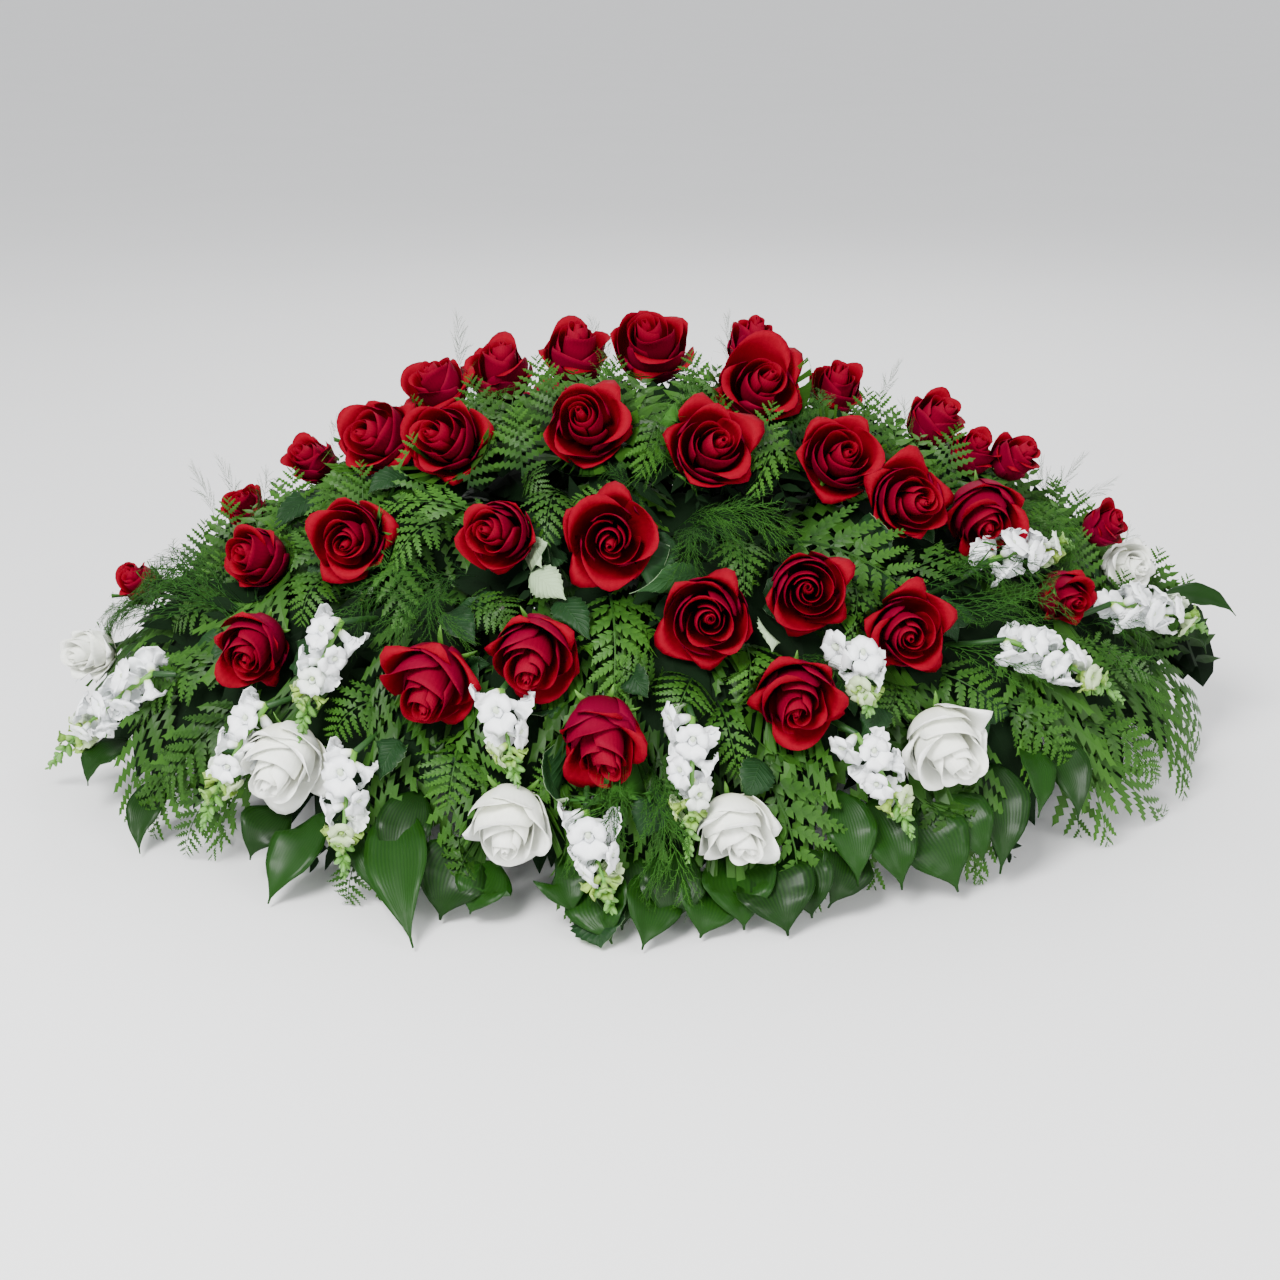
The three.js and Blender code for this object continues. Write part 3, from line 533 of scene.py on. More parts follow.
class Shape:
    """Points, faces as runs of corner numbers, and one value of each kind for every point"""

    def __init__(self, points, corners, sides, values=None):
        self.points = np.asarray(points, float)
        self.corners = np.asarray(corners, np.int64)
        self.sides = np.asarray(sides, np.int64)
        given = values or {}
        count = len(self.points)
        self.values = {name: np.zeros(count) + given.get(name, 0.0) for name in VALUES}

    def moved(self, points):
        return Shape(points, self.corners, self.sides, self.values)

    def toned(self, **values):
        return Shape(self.points, self.corners, self.sides, {**self.values, **values})


def joined(shapes):
    starts = np.cumsum([0] + [len(shape.points) for shape in shapes[:-1]])
    return Shape(
        np.concatenate([shape.points for shape in shapes]),
        np.concatenate([shape.corners + start for shape, start in zip(shapes, starts)]),
        np.concatenate([shape.sides for shape in shapes]),
        {name: np.concatenate([shape.values[name] for shape in shapes]) for name in VALUES},
    )


print("each point carries", ", ".join(VALUES))


# %% Thin sheets and tubes
def grid_shares(rows, columns):
    """Each point's share of the way from foot to lip, and its place from -1 to 1 across"""
    return np.meshgrid(np.linspace(0, 1, rows), np.linspace(-1, 1, columns), indexing="ij")


def quads(rows, columns, ring=False):
    """Corner numbers of a grid's faces, row by row"""
    i, j = np.meshgrid(np.arange(rows - 1), np.arange(columns if ring else columns - 1), indexing="ij")
    after = (j + 1) % columns
    here = i * columns
    above = (i + 1) * columns
    return np.stack([here + j, here + after, above + after, above + j], -1).reshape(-1, 4)


def faces_of(*groups):
    """Corner numbers of groups of faces, and how many corners each face has"""
    corners = np.concatenate([group.reshape(-1) for group in groups])
    return corners, np.concatenate([np.full(len(group), group.shape[1]) for group in groups])


def split(corners, points):
    """Two triangles for each face of four corners, along its shorter diagonal"""
    a, b, c, d = corners.T
    first = np.linalg.norm(points[a] - points[c], axis=1) <= np.linalg.norm(points[b] - points[d], axis=1)
    one = np.stack([a, b, np.where(first, c, d)], -1)
    two = np.stack([np.where(first, a, b), c, d], -1)
    return np.concatenate([one, two])


def thick(grid, thickness, edge=0.4, values=None):
    """Closed thin solid of a grid of points; its face is on the side of row x column"""
    rows, columns = grid.shape[:2]
    count = rows * columns
    normals = unit(np.cross(np.gradient(grid, axis=0), np.gradient(grid, axis=1)))
    share = np.ones((rows, columns, 1))
    share[0] = share[-1] = edge
    share[:, 0] = share[:, -1] = edge
    offset = normals * share * thickness / 2
    points = np.concatenate([(grid + offset).reshape(-1, 3), (grid - offset).reshape(-1, 3)])
    face = split(quads(rows, columns)[:, ::-1], grid.reshape(-1, 3))
    back = face[:, ::-1] + count
    number = np.arange(count).reshape(rows, columns)
    border = np.concatenate([number[0, :-1], number[:-1, -1], number[-1, :0:-1], number[:0:-1, 0]])
    after = np.roll(border, -1)
    rim = np.stack([border, after, after + count, border + count], -1)
    v, u = grid_shares(rows, columns)
    given = {"along": np.tile(v.reshape(-1), 2), "across": np.tile(u.reshape(-1), 2)}
    given["under"] = np.repeat([0.0, 1.0], count)
    return Shape(points, *faces_of(face, back, rim), {**given, **(values or {})})


def tube(path, radii, sides=6, values=None):
    """Closed tube along a row of points, with a point at each end"""
    path = np.asarray(path, float)
    tangents = unit(np.gradient(path, axis=0))
    helper = np.where(np.abs(tangents[:, 2:3]) < 0.9, Z_AXIS, RIGHT)
    east = unit(np.cross(helper, tangents))
    north = np.cross(tangents, east)
    angles = 2 * math.pi * np.arange(sides) / sides
    radii = np.broadcast_to(radii, len(path))[:, None, None]
    ring = east[:, None] * np.cos(angles)[:, None] + north[:, None] * np.sin(angles)[:, None]
    points = np.concatenate([(path[:, None] + radii * ring).reshape(-1, 3), path[:1], path[-1:]])
    side = quads(len(path), sides, ring=True)
    k = np.arange(sides)
    last = (len(path) - 1) * sides
    low = np.stack([np.full(sides, len(points) - 2), (k + 1) % sides, k], -1)
    high = np.stack([np.full(sides, len(points) - 1), last + k, last + (k + 1) % sides], -1)
    share = np.concatenate([np.repeat(np.linspace(0, 1, len(path)), sides), [0, 1]])
    return Shape(points, *faces_of(side, low, high), {"along": share, **(values or {})})


print("a sheet of 4 by 13 points has", len(quads(4, 13)), "faces of four corners on its face")


# %% From shapes to Blender objects and back
def mesh_of(name, shape, smooth=True):
    mesh = bpy.data.meshes.new(name)
    mesh.vertices.add(len(shape.points))
    mesh.vertices.foreach_set("co", shape.points.astype(np.float32).reshape(-1))
    mesh.loops.add(len(shape.corners))
    mesh.loops.foreach_set("vertex_index", shape.corners.astype(np.int32))
    mesh.polygons.add(len(shape.sides))
    starts = np.cumsum(shape.sides) - shape.sides
    mesh.polygons.foreach_set("loop_start", starts.astype(np.int32))
    mesh.update(calc_edges=True)
    for value_name in VALUES:
        attribute = mesh.attributes.new(value_name, "FLOAT", "POINT")
        attribute.data.foreach_set("value", shape.values[value_name].astype(np.float32))
    if smooth:
        mesh.shade_smooth()
    else:
        mesh.shade_flat()
    return mesh


def shape_of(mesh):
    points = np.empty(len(mesh.vertices) * 3, np.float32)
    mesh.vertices.foreach_get("co", points)
    corners = np.empty(len(mesh.loops), np.int32)
    mesh.loops.foreach_get("vertex_index", corners)
    sides = np.empty(len(mesh.polygons), np.int32)
    mesh.polygons.foreach_get("loop_total", sides)
    values = {}
    for name in VALUES:
        if name in mesh.attributes:
            values[name] = np.empty(len(mesh.vertices), np.float32)
            mesh.attributes[name].data.foreach_get("value", values[name])
    return Shape(points.reshape(-1, 3), corners, sides, values)


def triangles_in(shape):
    return int((shape.sides - 2).sum())


FACES = {}


def add_piece(name, shape, material, slot, nodes, smooth=True):
    """One finished piece of the spray, above the surface that it lies on"""
    shape.points[:, 2] = np.maximum(shape.points[:, 2], FLOOR_GAP / 2)
    piece = bpy.data.objects.new(name, mesh_of(name, shape, smooth))
    piece.data.materials.append(material)
    bpy.context.scene.collection.objects.link(piece)
    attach(piece, "root")
    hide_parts(*nodes)
    FACES[name] = triangles_in(shape)


# %% [markdown]
# ## Roses
# A florist's rose has a tight spiral heart, cupped petals round it, and outer petals that roll
# back until only a point shows. A modelled sphere with grooves would miss how the lips overlap,
# so every petal is its own thin sheet. A layer gives the curve that its petals follow from foot
# to lip, how wide they wrap, how far they tuck under their neighbours, and how they roll.

# %% Layers of a rose, in shares of its width
ROSE_LAYERS = (
    {
        "curve": ((0.02, 0.10), (0.05, 0.35), (0.07, 0.60), (0.025, 0.82)),
        "count": 3, "wrap": 2.5, "tuck": 0.34, "roll": 0, "narrow": 0, "curl": 0.0, "grid": (4, 13),
    },
    {
        "curve": ((0.03, 0.08), (0.12, 0.28), (0.155, 0.58), (0.10, 0.81)),
        "count": 3, "wrap": 1.75, "tuck": 0.28, "roll": 0.01, "narrow": 0.02, "curl": 0.012, "grid": (5, 13),
    },
    {
        "curve": ((0.04, 0.06), (0.23, 0.20), (0.26, 0.55), (0.205, 0.775)),
        "count": 3, "wrap": 1.5, "tuck": 0.22, "roll": 0.04, "narrow": 0.10, "curl": 0.04, "grid": (8, 13),
    },
    {
        "curve": ((0.05, 0.03), (0.35, 0.12), (0.36, 0.52), (0.39, 0.70)),
        "count": 3, "wrap": 1.4, "tuck": 0.15, "roll": 0.14, "narrow": 0.26, "curl": 0.07, "grid": (9, 12),
    },
    {
        "curve": ((0.07, 0.0), (0.40, 0.05), (0.38, 0.58), (0.53, 0.46)),
        "count": 5, "wrap": 1.04, "tuck": 0.10, "roll": 0.25, "narrow": 0.36, "curl": 0.03, "grid": (8, 9),
    },
)
LOOSENESS = (0.0, 0.05, 0.12, 0.15, 0.13)
LAYER_TURN = 0.71
PETAL_THICKNESS = 0.0006
FULL_TURN = 6.28


# %% One petal
def bezier(curve, share):
    """Points of a curve with four handles, at shares of its length"""
    a, b, c, d = (np.array(point) for point in curve)
    s = share[..., None]
    return a * (1 - s) ** 3 + 3 * b * s * (1 - s) ** 2 + 3 * c * s * s * (1 - s) + d * s**3


def step(low, high, value):
    """0 below, 1 above, and a soft rise between"""
    t = np.clip((value - low) / (high - low), 0, 1)
    return t * t * (3 - 2 * t)


def petal(layer, around, draw, spread, loose):
    """Grid of one petal round the axis +Z, for a rose one unit wide; loose is how far it may stray"""
    narrow = layer["narrow"]
    v, u = grid_shares(*layer["grid"])
    long = 1 + loose * draw.uniform(-1, 0.5)
    point = draw.uniform(0, loose)
    # The sides of a pointed petal reach less far than its middle
    reach = v * long * (1 - (0.06 + 0.3 * narrow + point) * np.abs(u) ** (1.8 - 1.7 * narrow))
    radius, height = np.moveaxis(bezier(layer["curve"], reach), -1, 0)
    lip = step(0.55, 1.0, reach)
    wrap = layer["wrap"] * (1 - narrow * lip) * (1 + loose * draw.uniform(-1, 1))
    phase = draw.uniform(0, FULL_TURN, 3)
    curl = layer["curl"] * step(0.78, 1.0, reach) ** 2 * (1 + 0.5 * np.sin(3 * u + phase[0]))
    opened = 1 + (spread * (1 + 0.8 * loose * draw.uniform(-1, 1)) - 1) * step(0.1, 0.9, reach)
    radius = radius * (1 + layer["tuck"] * u) * opened
    # Towards the lip it rolls back, most at its corners, and waves a little
    roll = layer["roll"] * (1 + 2.5 * loose * draw.uniform(-1, 1))
    skew = draw.uniform(-0.3, 0.3) * (loose > 0)
    rolled = np.abs(u - skew) ** (2.4 - 1.6 * narrow)
    radius = radius + curl - 0.5 * roll * rolled * lip
    radius = radius + (0.008 + 0.1 * loose) * lip * np.sin(2.6 * u + phase[1])
    height = height * (1 + 0.5 * loose * draw.uniform(-1, 1)) - 0.6 * curl - roll * rolled * lip
    height = height + 0.012 * lip * np.sin(4.1 * u + phase[2]) + 0.18 * (1 - spread) * lip * (height > 0.3)
    angle = around + wrap * u
    return np.stack([radius * np.cos(angle), radius * np.sin(angle), height], -1)


# %% One rose
def turned(points, foot, axis):
    """Points of a shape made round +Z, stood at its foot along its axis"""
    helper = Z_AXIS if abs(axis[2]) < 0.9 else np.array([0.0, 1.0, 0.0])
    east = unit(np.cross(helper, axis))
    north = np.cross(axis, east)
    return foot + points @ np.stack([east, north, axis])


HEART_LEAN = 0.16
HEART_RADII = (0.05, 0.045, 0.012)


def leaned(points, lean, share):
    """Lean the points of a rose to one side, the more the higher they are"""
    shift = HEART_LEAN * share * points[..., 2] ** 2
    points[..., 0] += shift * math.cos(lean)
    points[..., 1] += shift * math.sin(lean)
    return points


def rose_shape(foot, axis, width, turn, seed, spread):
    """All petals of a rose; its heart leans a little to one side of its outer petals"""
    draw = np.random.default_rng(seed)
    lean = draw.uniform(0, 2 * math.pi)
    shapes = []
    for number, layer in enumerate(ROSE_LAYERS):
        depth = number / (len(ROSE_LAYERS) - 1)
        loose = LOOSENESS[number]
        start = turn + (len(ROSE_LAYERS) - 1 - number) * LAYER_TURN
        for k in range(layer["count"]):
            around = start + 2 * math.pi * k / layer["count"] + 1.6 * loose * draw.uniform(-1, 1)
            open_share = 1 + (spread - 1) * depth
            grid = leaned(petal(layer, around, draw, open_share, loose), lean, 1 - depth)
            values = {"tone": draw.uniform(-1, 1), "ripe": depth}
            shapes.append(thick(turned(grid * width, foot, axis), PETAL_THICKNESS, values=values))
    heart = leaned(np.array([[0, 0, 0.3], [0, 0, 0.6], [0, 0, 0.72]]), lean, 1)
    radii = np.array(HEART_RADII) * width
    shapes.append(tube(turned(heart * width, foot, axis), radii, values={"along": 0.4, "under": 1.0}))
    return joined(shapes)


# %% [markdown]
# The places of the roses are read from the front view: the pixel of the middle, the width, how
# far the face leans right and up, and how much nearer than the shell it stands. Those of the
# back are places on the shell. The order gives the numbers in the CAD model's names.

# %% Places of the roses: pixel across and down, width in mm, lean, rise, nearer in mm
RED_ROSES = (
    (652, 348, 84, 0.05, 0.62, 12), (575, 356, 70, 0.1, 0.82, 10), (500, 373, 72, -0.15, 0.8, 22),
    (439, 388, 66, -0.45, 0.75, 30), (381, 438, 78, -0.5, 0.4, 80), (447, 441, 78, -0.2, 0.28, 0),
    (314, 461, 54, -0.35, 0.6, 26), (586, 426, 78, -0.05, 0.18, 0), (710, 448, 80, 0.12, 0.35, 0),
    (757, 387, 80, 0.12, 0.42, 64), (752, 346, 60, 0, 0.85, 12), (835, 391, 64, 0.15, 0.7, -14),
    (838, 458, 76, 0.05, 0.35, 0), (907, 499, 76, 0.25, 0.15, 8), (933, 421, 62, 0.4, 0.72, 10),
    (972, 453, 54, 0.3, 0.75, 12), (1013, 458, 54, 0.5, 0.62, 14), (985, 514, 78, 0.15, -0.45, 38),
    (1104, 526, 50, 0.6, 0.45, 30), (1064, 597, 62, 0.3, -0.3, 0), (352, 539, 72, -0.15, 0.08, 0),
    (500, 535, 72, -0.25, 0.02, 0), (612, 537, 80, 0.05, 0.06, 0), (808, 590, 78, 0.02, -0.08, 0),
    (707, 618, 84, -0.08, -0.12, 0), (907, 631, 74, 0.2, -0.1, 0), (535, 652, 78, -0.08, -0.36, 0),
    (432, 680, 78, -0.3, -0.45, 0), (253, 647, 76, -0.25, -0.3, 0), (258, 558, 68, -0.45, 0.05, 0),
    (246, 508, 48, -0.35, 0.62, 10), (140, 584, 52, -0.55, 0.45, 24), (798, 698, 78, 0.12, -0.34, 0),
    (602, 736, 80, -0.02, -0.6, 0),
)
WHITE_ROSES = (
    (285, 760, 80, -0.15, -0.5, 0), (510, 824, 78, -0.05, -0.58, 0), (735, 828, 70, 0.2, -0.55, 0),
    (945, 743, 78, 0.25, -0.45, 0), (1126, 564, 58, 0.35, 0.1, 0), (92, 652, 56, -0.5, -0.1, 0),
)
# Angle round the mound from +X, share of the way out, width in mm
BACK_RED_ROSES = ((36, 0.76, 70), (62, 0.56, 76), (90, 0.8, 74), (120, 0.54, 78), (145, 0.76, 72))
BACK_WHITE_ROSES = ((60, 0.94, 72), (118, 0.95, 74))
ROSE_DEPTH = 0.38
ROSE_CLEAR = 0.4
ROSE_TURN = 1.7
NOD = 0.10
LOW_NOD = 1.1
MM = 0.001


def rose_place(kind, number, middle, axis, width):
    """Where a rose stands and which way it faces"""
    foot = middle - ROSE_DEPTH * width * axis
    foot[2] = max(foot[2], ROSE_CLEAR * width + FLOOR_GAP)
    return {"kind": kind, "number": number, "foot": foot, "axis": axis, "width": width}


def front_rose(kind, number, across, down, width, lean, rise, nearer):
    middle = seen_at(across, down)
    middle = middle + unit(EYE - middle) * nearer * MM
    nodding = min(rise, rise * LOW_NOD) - NOD
    return rose_place(kind, number, middle, facing(lean, nodding), width * MM)


def back_rose(kind, number, angle, share, width):
    middle = on_shell(angle, share)
    return rose_place(kind, number, middle, shell_normal(middle), width * MM)


roses = []
for kind, front, back in (
    ("red_rose", RED_ROSES, BACK_RED_ROSES),
    ("white_rose", WHITE_ROSES, BACK_WHITE_ROSES),
):
    roses += [front_rose(kind, i + 1, *row) for i, row in enumerate(front)]
    roses += [back_rose(kind, len(front) + i + 1, *row) for i, row in enumerate(back)]
print(len(roses), "roses placed")

# %% [markdown]
# The CAD model joins roses that touch in one body, and its name lists their numbers. So each
# such node gets one piece, made of the roses whose numbers its name holds.

# %% Make the roses
SMALL_ROSE = 0.062
OPEN_SPREAD = (0.84, 1.0)
SHUT_SPREAD = (0.72, 0.84)
WHITE_SEEDS = 100
for node_name in sorted(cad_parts):
    kind = next((kind for kind in ("red_rose", "white_rose") if node_name.startswith(kind)), None)
    if not kind:
        continue
    numbers = [int(word) for word in node_name[len(kind) + 1 :].split("_")]
    shapes = []
    for rose in roses:
        if rose["kind"] == kind and rose["number"] in numbers:
            draw = np.random.default_rng(rose["number"] + WHITE_SEEDS * (kind == "white_rose"))
            spread = draw.uniform(*(OPEN_SPREAD if rose["width"] > SMALL_ROSE else SHUT_SPREAD))
            turn = rose["number"] * ROSE_TURN
            shapes.append(rose_shape(rose["foot"], rose["axis"], rose["width"], turn, rose["number"], spread))
    finish, slot = (RED_PETAL, "red_petals") if kind == "red_rose" else (WHITE_PETAL, "white_petals")
    add_piece(node_name + "_petals", joined(shapes), finish, slot, [node_name])
print("roses", sum(FACES.values()), "triangles")

# %% [markdown]
# ## Repeats along a stem
# Fern leaflets, plume needles and snapdragon florets all stand along a stem, in two flat rows
# or in a spiral, and grow smaller towards its tip. So one Geometry Nodes tree serves them all:
# it copies the shape it is given along a stem, each copy turned and sized by its place. Run
# twice, it makes a leaf of a leaf: leaflets on a side rib, then side ribs on the midrib.


# %% Tree that stands copies of a shape along a stem
class Grower(Graph):
    """A Geometry Nodes tree with named inputs"""

    def __init__(self, name, **defaults):
        super().__init__(bpy.data.node_groups.new(name, "GeometryNodeTree"))
        faces = self.tree.interface
        faces.new_socket("Geometry", in_out="OUTPUT", socket_type="NodeSocketGeometry")
        faces.new_socket("Geometry", in_out="INPUT", socket_type="NodeSocketGeometry")
        for input_name, value in defaults.items():
            kind = "NodeSocketInt" if isinstance(value, int) else "NodeSocketFloat"
            faces.new_socket(input_name, in_out="INPUT", socket_type=kind).default_value = value
        faces.new_socket("Material", in_out="INPUT", socket_type="NodeSocketMaterial")
        self.entry = self.tree.nodes.new("NodeGroupInput")

    def given(self, name):
        return Wire(self, self.entry.outputs[name])

    def vector(self, x, y, z):
        return self.node("ShaderNodeCombineXYZ", {"X": x, "Y": y, "Z": z})

    def turn(self, axis, angle):
        return self.node("FunctionNodeAxisAngleToRotation", {"Axis": axis, "Angle": angle})

    def turned(self, rotation, by, space):
        inputs = {"Rotation": rotation, "Rotate By": by}
        return self.node("FunctionNodeRotateRotation", inputs, rotation_space=space)

    def random(self, low, high, salt):
        seed = self.given("Seed") + salt
        return self.node("FunctionNodeRandomValue", {2: low, 3: high, "Seed": seed}, output=1)


# %% The nodes of the tree
def along_stem_tree():
    """Tree that copies a shape along a stem; index counts the copies from the foot"""
    tree = Grower(
        "copies_along_a_stem",
        Count=12, Begin=0.1, Gather=1.3, Start=0.6, Rise=2.0, Fall=0.8, Size=0.3, Tilt=1.0,
        Close=0.3, Flat=1.0, Turn=2.4, Loose=0.1, Stem=0.01, Sides=4, Rings=7, Seed=1,
    )
    given = tree.given
    index = tree.node("GeometryNodeInputIndex")
    share = index / (given("Count") - 1)
    begin = given("Begin")
    place = begin + (1 - begin) * (1 - (1 - share) ** given("Gather"))
    swell = given("Start") + given("Rise") * share
    swell = swell.maths("MINIMUM", swell, 1)
    size = given("Size") * swell * (1.03 - share) ** given("Fall") * tree.random(0.9, 1.1, 3)
    flat = given("Flat")
    side = (1 - 2 * index.maths("MODULO", index, 2)) * flat + (1 - flat)
    loose = given("Loose")
    tilt = given("Tilt") - given("Close") * share + loose * tree.random(-1.0, 1.0, 7)
    rotation = tree.turn((0, 0, 1), -1 * side * tilt)
    roll = index * given("Turn") * (1 - flat) + loose * tree.random(-1.0, 1.0, 11)
    rotation = tree.turned(rotation, tree.turn((0, 1, 0), roll), "GLOBAL")
    rotation = tree.turned(rotation, tree.turn((0, 1, 0), loose * tree.random(-1.5, 1.5, 13)), "LOCAL")
    points = tree.node("GeometryNodeMeshLine", {"Count": given("Count")})
    inputs = {"Geometry": points, "Position": tree.vector(0, place, 0)}
    points = tree.node("GeometryNodeSetPosition", inputs)
    inputs = {"Points": points, "Instance": given("Geometry"), "Rotation": rotation}
    inputs["Scale"] = tree.vector(size, size, size)
    copies = tree.node("GeometryNodeInstanceOnPoints", inputs)
    inputs = {"Geometry": copies, "Name": "tone", "Value": tree.random(0.0, 1.0, 17)}
    copies = tree.node("GeometryNodeStoreNamedAttribute", inputs, domain="INSTANCE")
    copies = tree.node("GeometryNodeRealizeInstances", {"Geometry": copies})
    stem = tree.node("GeometryNodeCurvePrimitiveLine", {"Start": (0, 0, 0), "End": (0, 0.99, 0)})
    stem = tree.node("GeometryNodeResampleCurve", {"Curve": stem, "Count": given("Rings")})
    ring = tree.node("GeometryNodeCurvePrimitiveCircle", {"Resolution": given("Sides"), "Radius": 1.0})
    scale = given("Stem") * (1.12 - tree.node("GeometryNodeSplineParameter"))
    inputs = {"Curve": stem, "Profile Curve": ring, "Scale": scale, "Fill Caps": True}
    stem = tree.node("GeometryNodeCurveToMesh", inputs)
    joined_up = tree.node("GeometryNodeJoinGeometry", {"Geometry": [stem, copies]})
    inputs = {"Geometry": joined_up, "Material": given("Material")}
    tree.node("NodeGroupOutput", {"Geometry": tree.node("GeometryNodeSetMaterial", inputs)})
    return tree.tree


ALONG_STEM = along_stem_tree()
print("one tree with", len(ALONG_STEM.nodes), "nodes")


# %% Grow a shape with the tree
def grown(shape, material, **inputs):
    """What the tree makes of a shape, as a plain shape again"""
    seedling = bpy.data.objects.new("seedling", mesh_of("seedling", shape))
    bpy.context.scene.collection.objects.link(seedling)
    modifier = seedling.modifiers.new("growth", "NODES")
    modifier.node_group = ALONG_STEM
    inputs["Material"] = material
    for socket in ALONG_STEM.interface.items_tree:
        if socket.in_out == "INPUT" and socket.name in inputs:
            modifier[socket.identifier] = inputs[socket.name]
    evaluated = seedling.evaluated_get(bpy.context.evaluated_depsgraph_get())
    mesh = bpy.data.meshes.new_from_object(evaluated)
    result = shape_of(mesh)
    sprout = seedling.data
    bpy.data.objects.remove(seedling)
    bpy.data.meshes.remove(sprout)
    bpy.data.meshes.remove(mesh)
    return result


# %% [markdown]
# ## Paths over the mound
# Fronds, plumes and leaves come up out of the mound, lie over it and droop at their tips. A
# path does the same: it runs over the shell between two places, dives in at its foot, bulges
# in the middle and droops at the end. Any flat shape can then be laid along it. A depth of 1 is
# the shell itself, and a smaller one is the same shell, shrunk, inside the mound.


# %% Paths, and shapes laid along them
PATH_STEPS = 17
SURFACE_ROUNDS = 4
LEAST_SLOPE = 0.8
LONGEST_MOVE = 0.08


def on_surface(points, depth):
    """The points, moved to the shell in a few rounds"""
    for _ in range(SURFACE_ROUNDS):
        normals = shell_normal(points)
        value = shell_value(points, depth)
        slope = (shell_value(points + SLOPE_STEP * normals, depth) - value) / SLOPE_STEP
        miss = (value - 1) / np.maximum(slope, LEAST_SLOPE)
        points = points - np.clip(miss, -LONGEST_MOVE, LONGEST_MOVE)[..., None] * normals
    return points


def settled(place, depth):
    """The shell's point nearest to one place"""
    return on_surface(np.array([place], float), depth)[0]


def bowed(start, handle, end, share):
    """Points of a curve that is drawn towards one handle"""
    return start * (1 - share) ** 2 + handle * 2 * share * (1 - share) + end * share**2


def over(start, end, depth=1.0, dive=0.04, belly=0.012, droop=0.0, sway=0.0):
    """Path over the shell from one place to another, and the directions away from the mound"""
    share = np.linspace(0, 1, PATH_STEPS)[:, None]
    start, end = np.asarray(start, float), np.asarray(end, float)
    points = on_surface(start * (1 - share) + end * share, depth)
    ups = shell_normal(points)
    across = unit(np.cross(unit(end - start), ups))
    points = points + ups * (belly * np.sin(math.pi * share) - dive * (1 - share) ** 3)
    points = points + across * sway * np.sin(math.pi * share) * np.linalg.norm(end - start)
    points[:, 2] -= (droop * share**3)[:, 0]
    points[:, 2] = np.maximum(points[:, 2], FLOOR_GAP)
    return points, ups


def length_of(path):
    return np.linalg.norm(np.diff(path, axis=0), axis=1).sum()


def bend(shape, path, ups, half_width, roll=0.0, sag=0.0, lift=1.0):
    """Flat shape along +Y from 0 to 1, laid along a path; its x goes across the path"""
    tangents = unit(np.gradient(path, axis=0))
    sides = unit(np.cross(tangents, ups))
    ups = np.cross(sides, tangents)
    sides, ups = (
        sides * math.cos(roll) + ups * math.sin(roll),
        ups * math.cos(roll) - sides * math.sin(roll),
    )
    x, y, z = shape.points.T
    place = np.clip(y, 0, 1) * (len(path) - 1)
    low = np.minimum(place.astype(int), len(path) - 2)
    part = (place - low)[:, None]

    def blend(rows):
        return rows[low] * (1 - part) + rows[low + 1] * part

    beyond = (y - np.clip(y, 0, 1))[:, None] * length_of(path)
    z = z * lift * half_width - sag * half_width * x**2
    points = blend(path) + blend(tangents) * beyond
    points = points + blend(sides) * (x * half_width)[:, None] + blend(ups) * z[:, None]
    return shape.moved(points)


def pixel_path(row, depth, **options):
    """Path between two pixels of the front view"""
    return over(seen_at(*row[:2], depth), seen_at(*row[2:], depth), depth, **options)


# %% [markdown]
# ## Snapdragons
# A head carries its florets in a spiral. The low ones are open, with a short tube, two upper
# lobes that stand up and three lower ones that spread round a pale palate. Higher up they are
# half open, then green buds. Three shapes grown along the same stalk give that order.

# %% Florets
GOLDEN = math.radians(137.5)


LOBES = ((0.5, 1.0), (-0.5, 1.0), (math.pi, 0.95), (2.15, 0.85), (-2.15, 0.85))
LOBE_THICKNESS = 0.02


def lobe(direction, wide, flare, draw, grid):
    """One frilled lobe of a floret whose tube runs along +Y; direction 0 is its upper side"""
    v, u = grid_shares(*grid)
    y = 0.42 + 0.42 * np.sin(v * 1.9) - 0.16 * v**2 * flare
    r = 0.13 + 0.16 * v + flare * 0.30 * v**2
    frill = 0.05 * v * np.sin(u * 5 + draw.uniform(0, 6)) + 0.04 * v * np.sin(u * 9 + draw.uniform(0, 6))
    half = wide * (0.35 + 0.65 * np.sin(np.minimum(v * 1.25, 1) * math.pi / 2)) * (1 - 0.35 * (v > 0.9))
    aside = u * half
    r = r * np.cos(u * 0.5) + frill
    x = -math.cos(direction) * r + math.sin(direction) * aside
    z = math.sin(direction) * r + math.cos(direction) * aside
    y = y + frill * 0.8 - 0.05 * np.abs(u) * v
    return thick(np.stack([x, y, z], -1), LOBE_THICKNESS, values={"under": 0.0})


def floret(seed, wide, flare, green, grid=(5, 4)):
    draw = np.random.default_rng(seed)
    path = [(0, 0, 0), (0, 0.1, 0), (0, 0.32, 0), (0, 0.56, 0)]
    body = tube(path, np.array([0.05, 0.12, 0.16, 0.13]), 6)
    body = body.toned(under=np.clip(1.1 - body.values["along"] * 2.4, 0, 1))
    shapes = [body]
    for direction, share in LOBES:
        shapes.append(lobe(direction, wide * share, flare, draw, grid))
    palate = tube([(0.04, 0.5, 0), (0.09, 0.62, 0), (0.16, 0.7, 0)], np.array([0.08, 0.1, 0.04]), 5)
    shapes.append(palate.toned(under=0.3))
    made = joined(shapes)
    return made.toned(under=np.maximum(made.values["under"], green))


def bud(green):
    path = [(0, 0, 0), (0, 0.16, 0), (0, 0.38, 0), (0.03, 0.56, 0), (0.05, 0.66, 0)]
    body = tube(path, np.array([0.07, 0.15, 0.17, 0.12, 0.05]), 6)
    return body.toned(under=np.clip(green + 0.5 - body.values["along"], 0, 1))


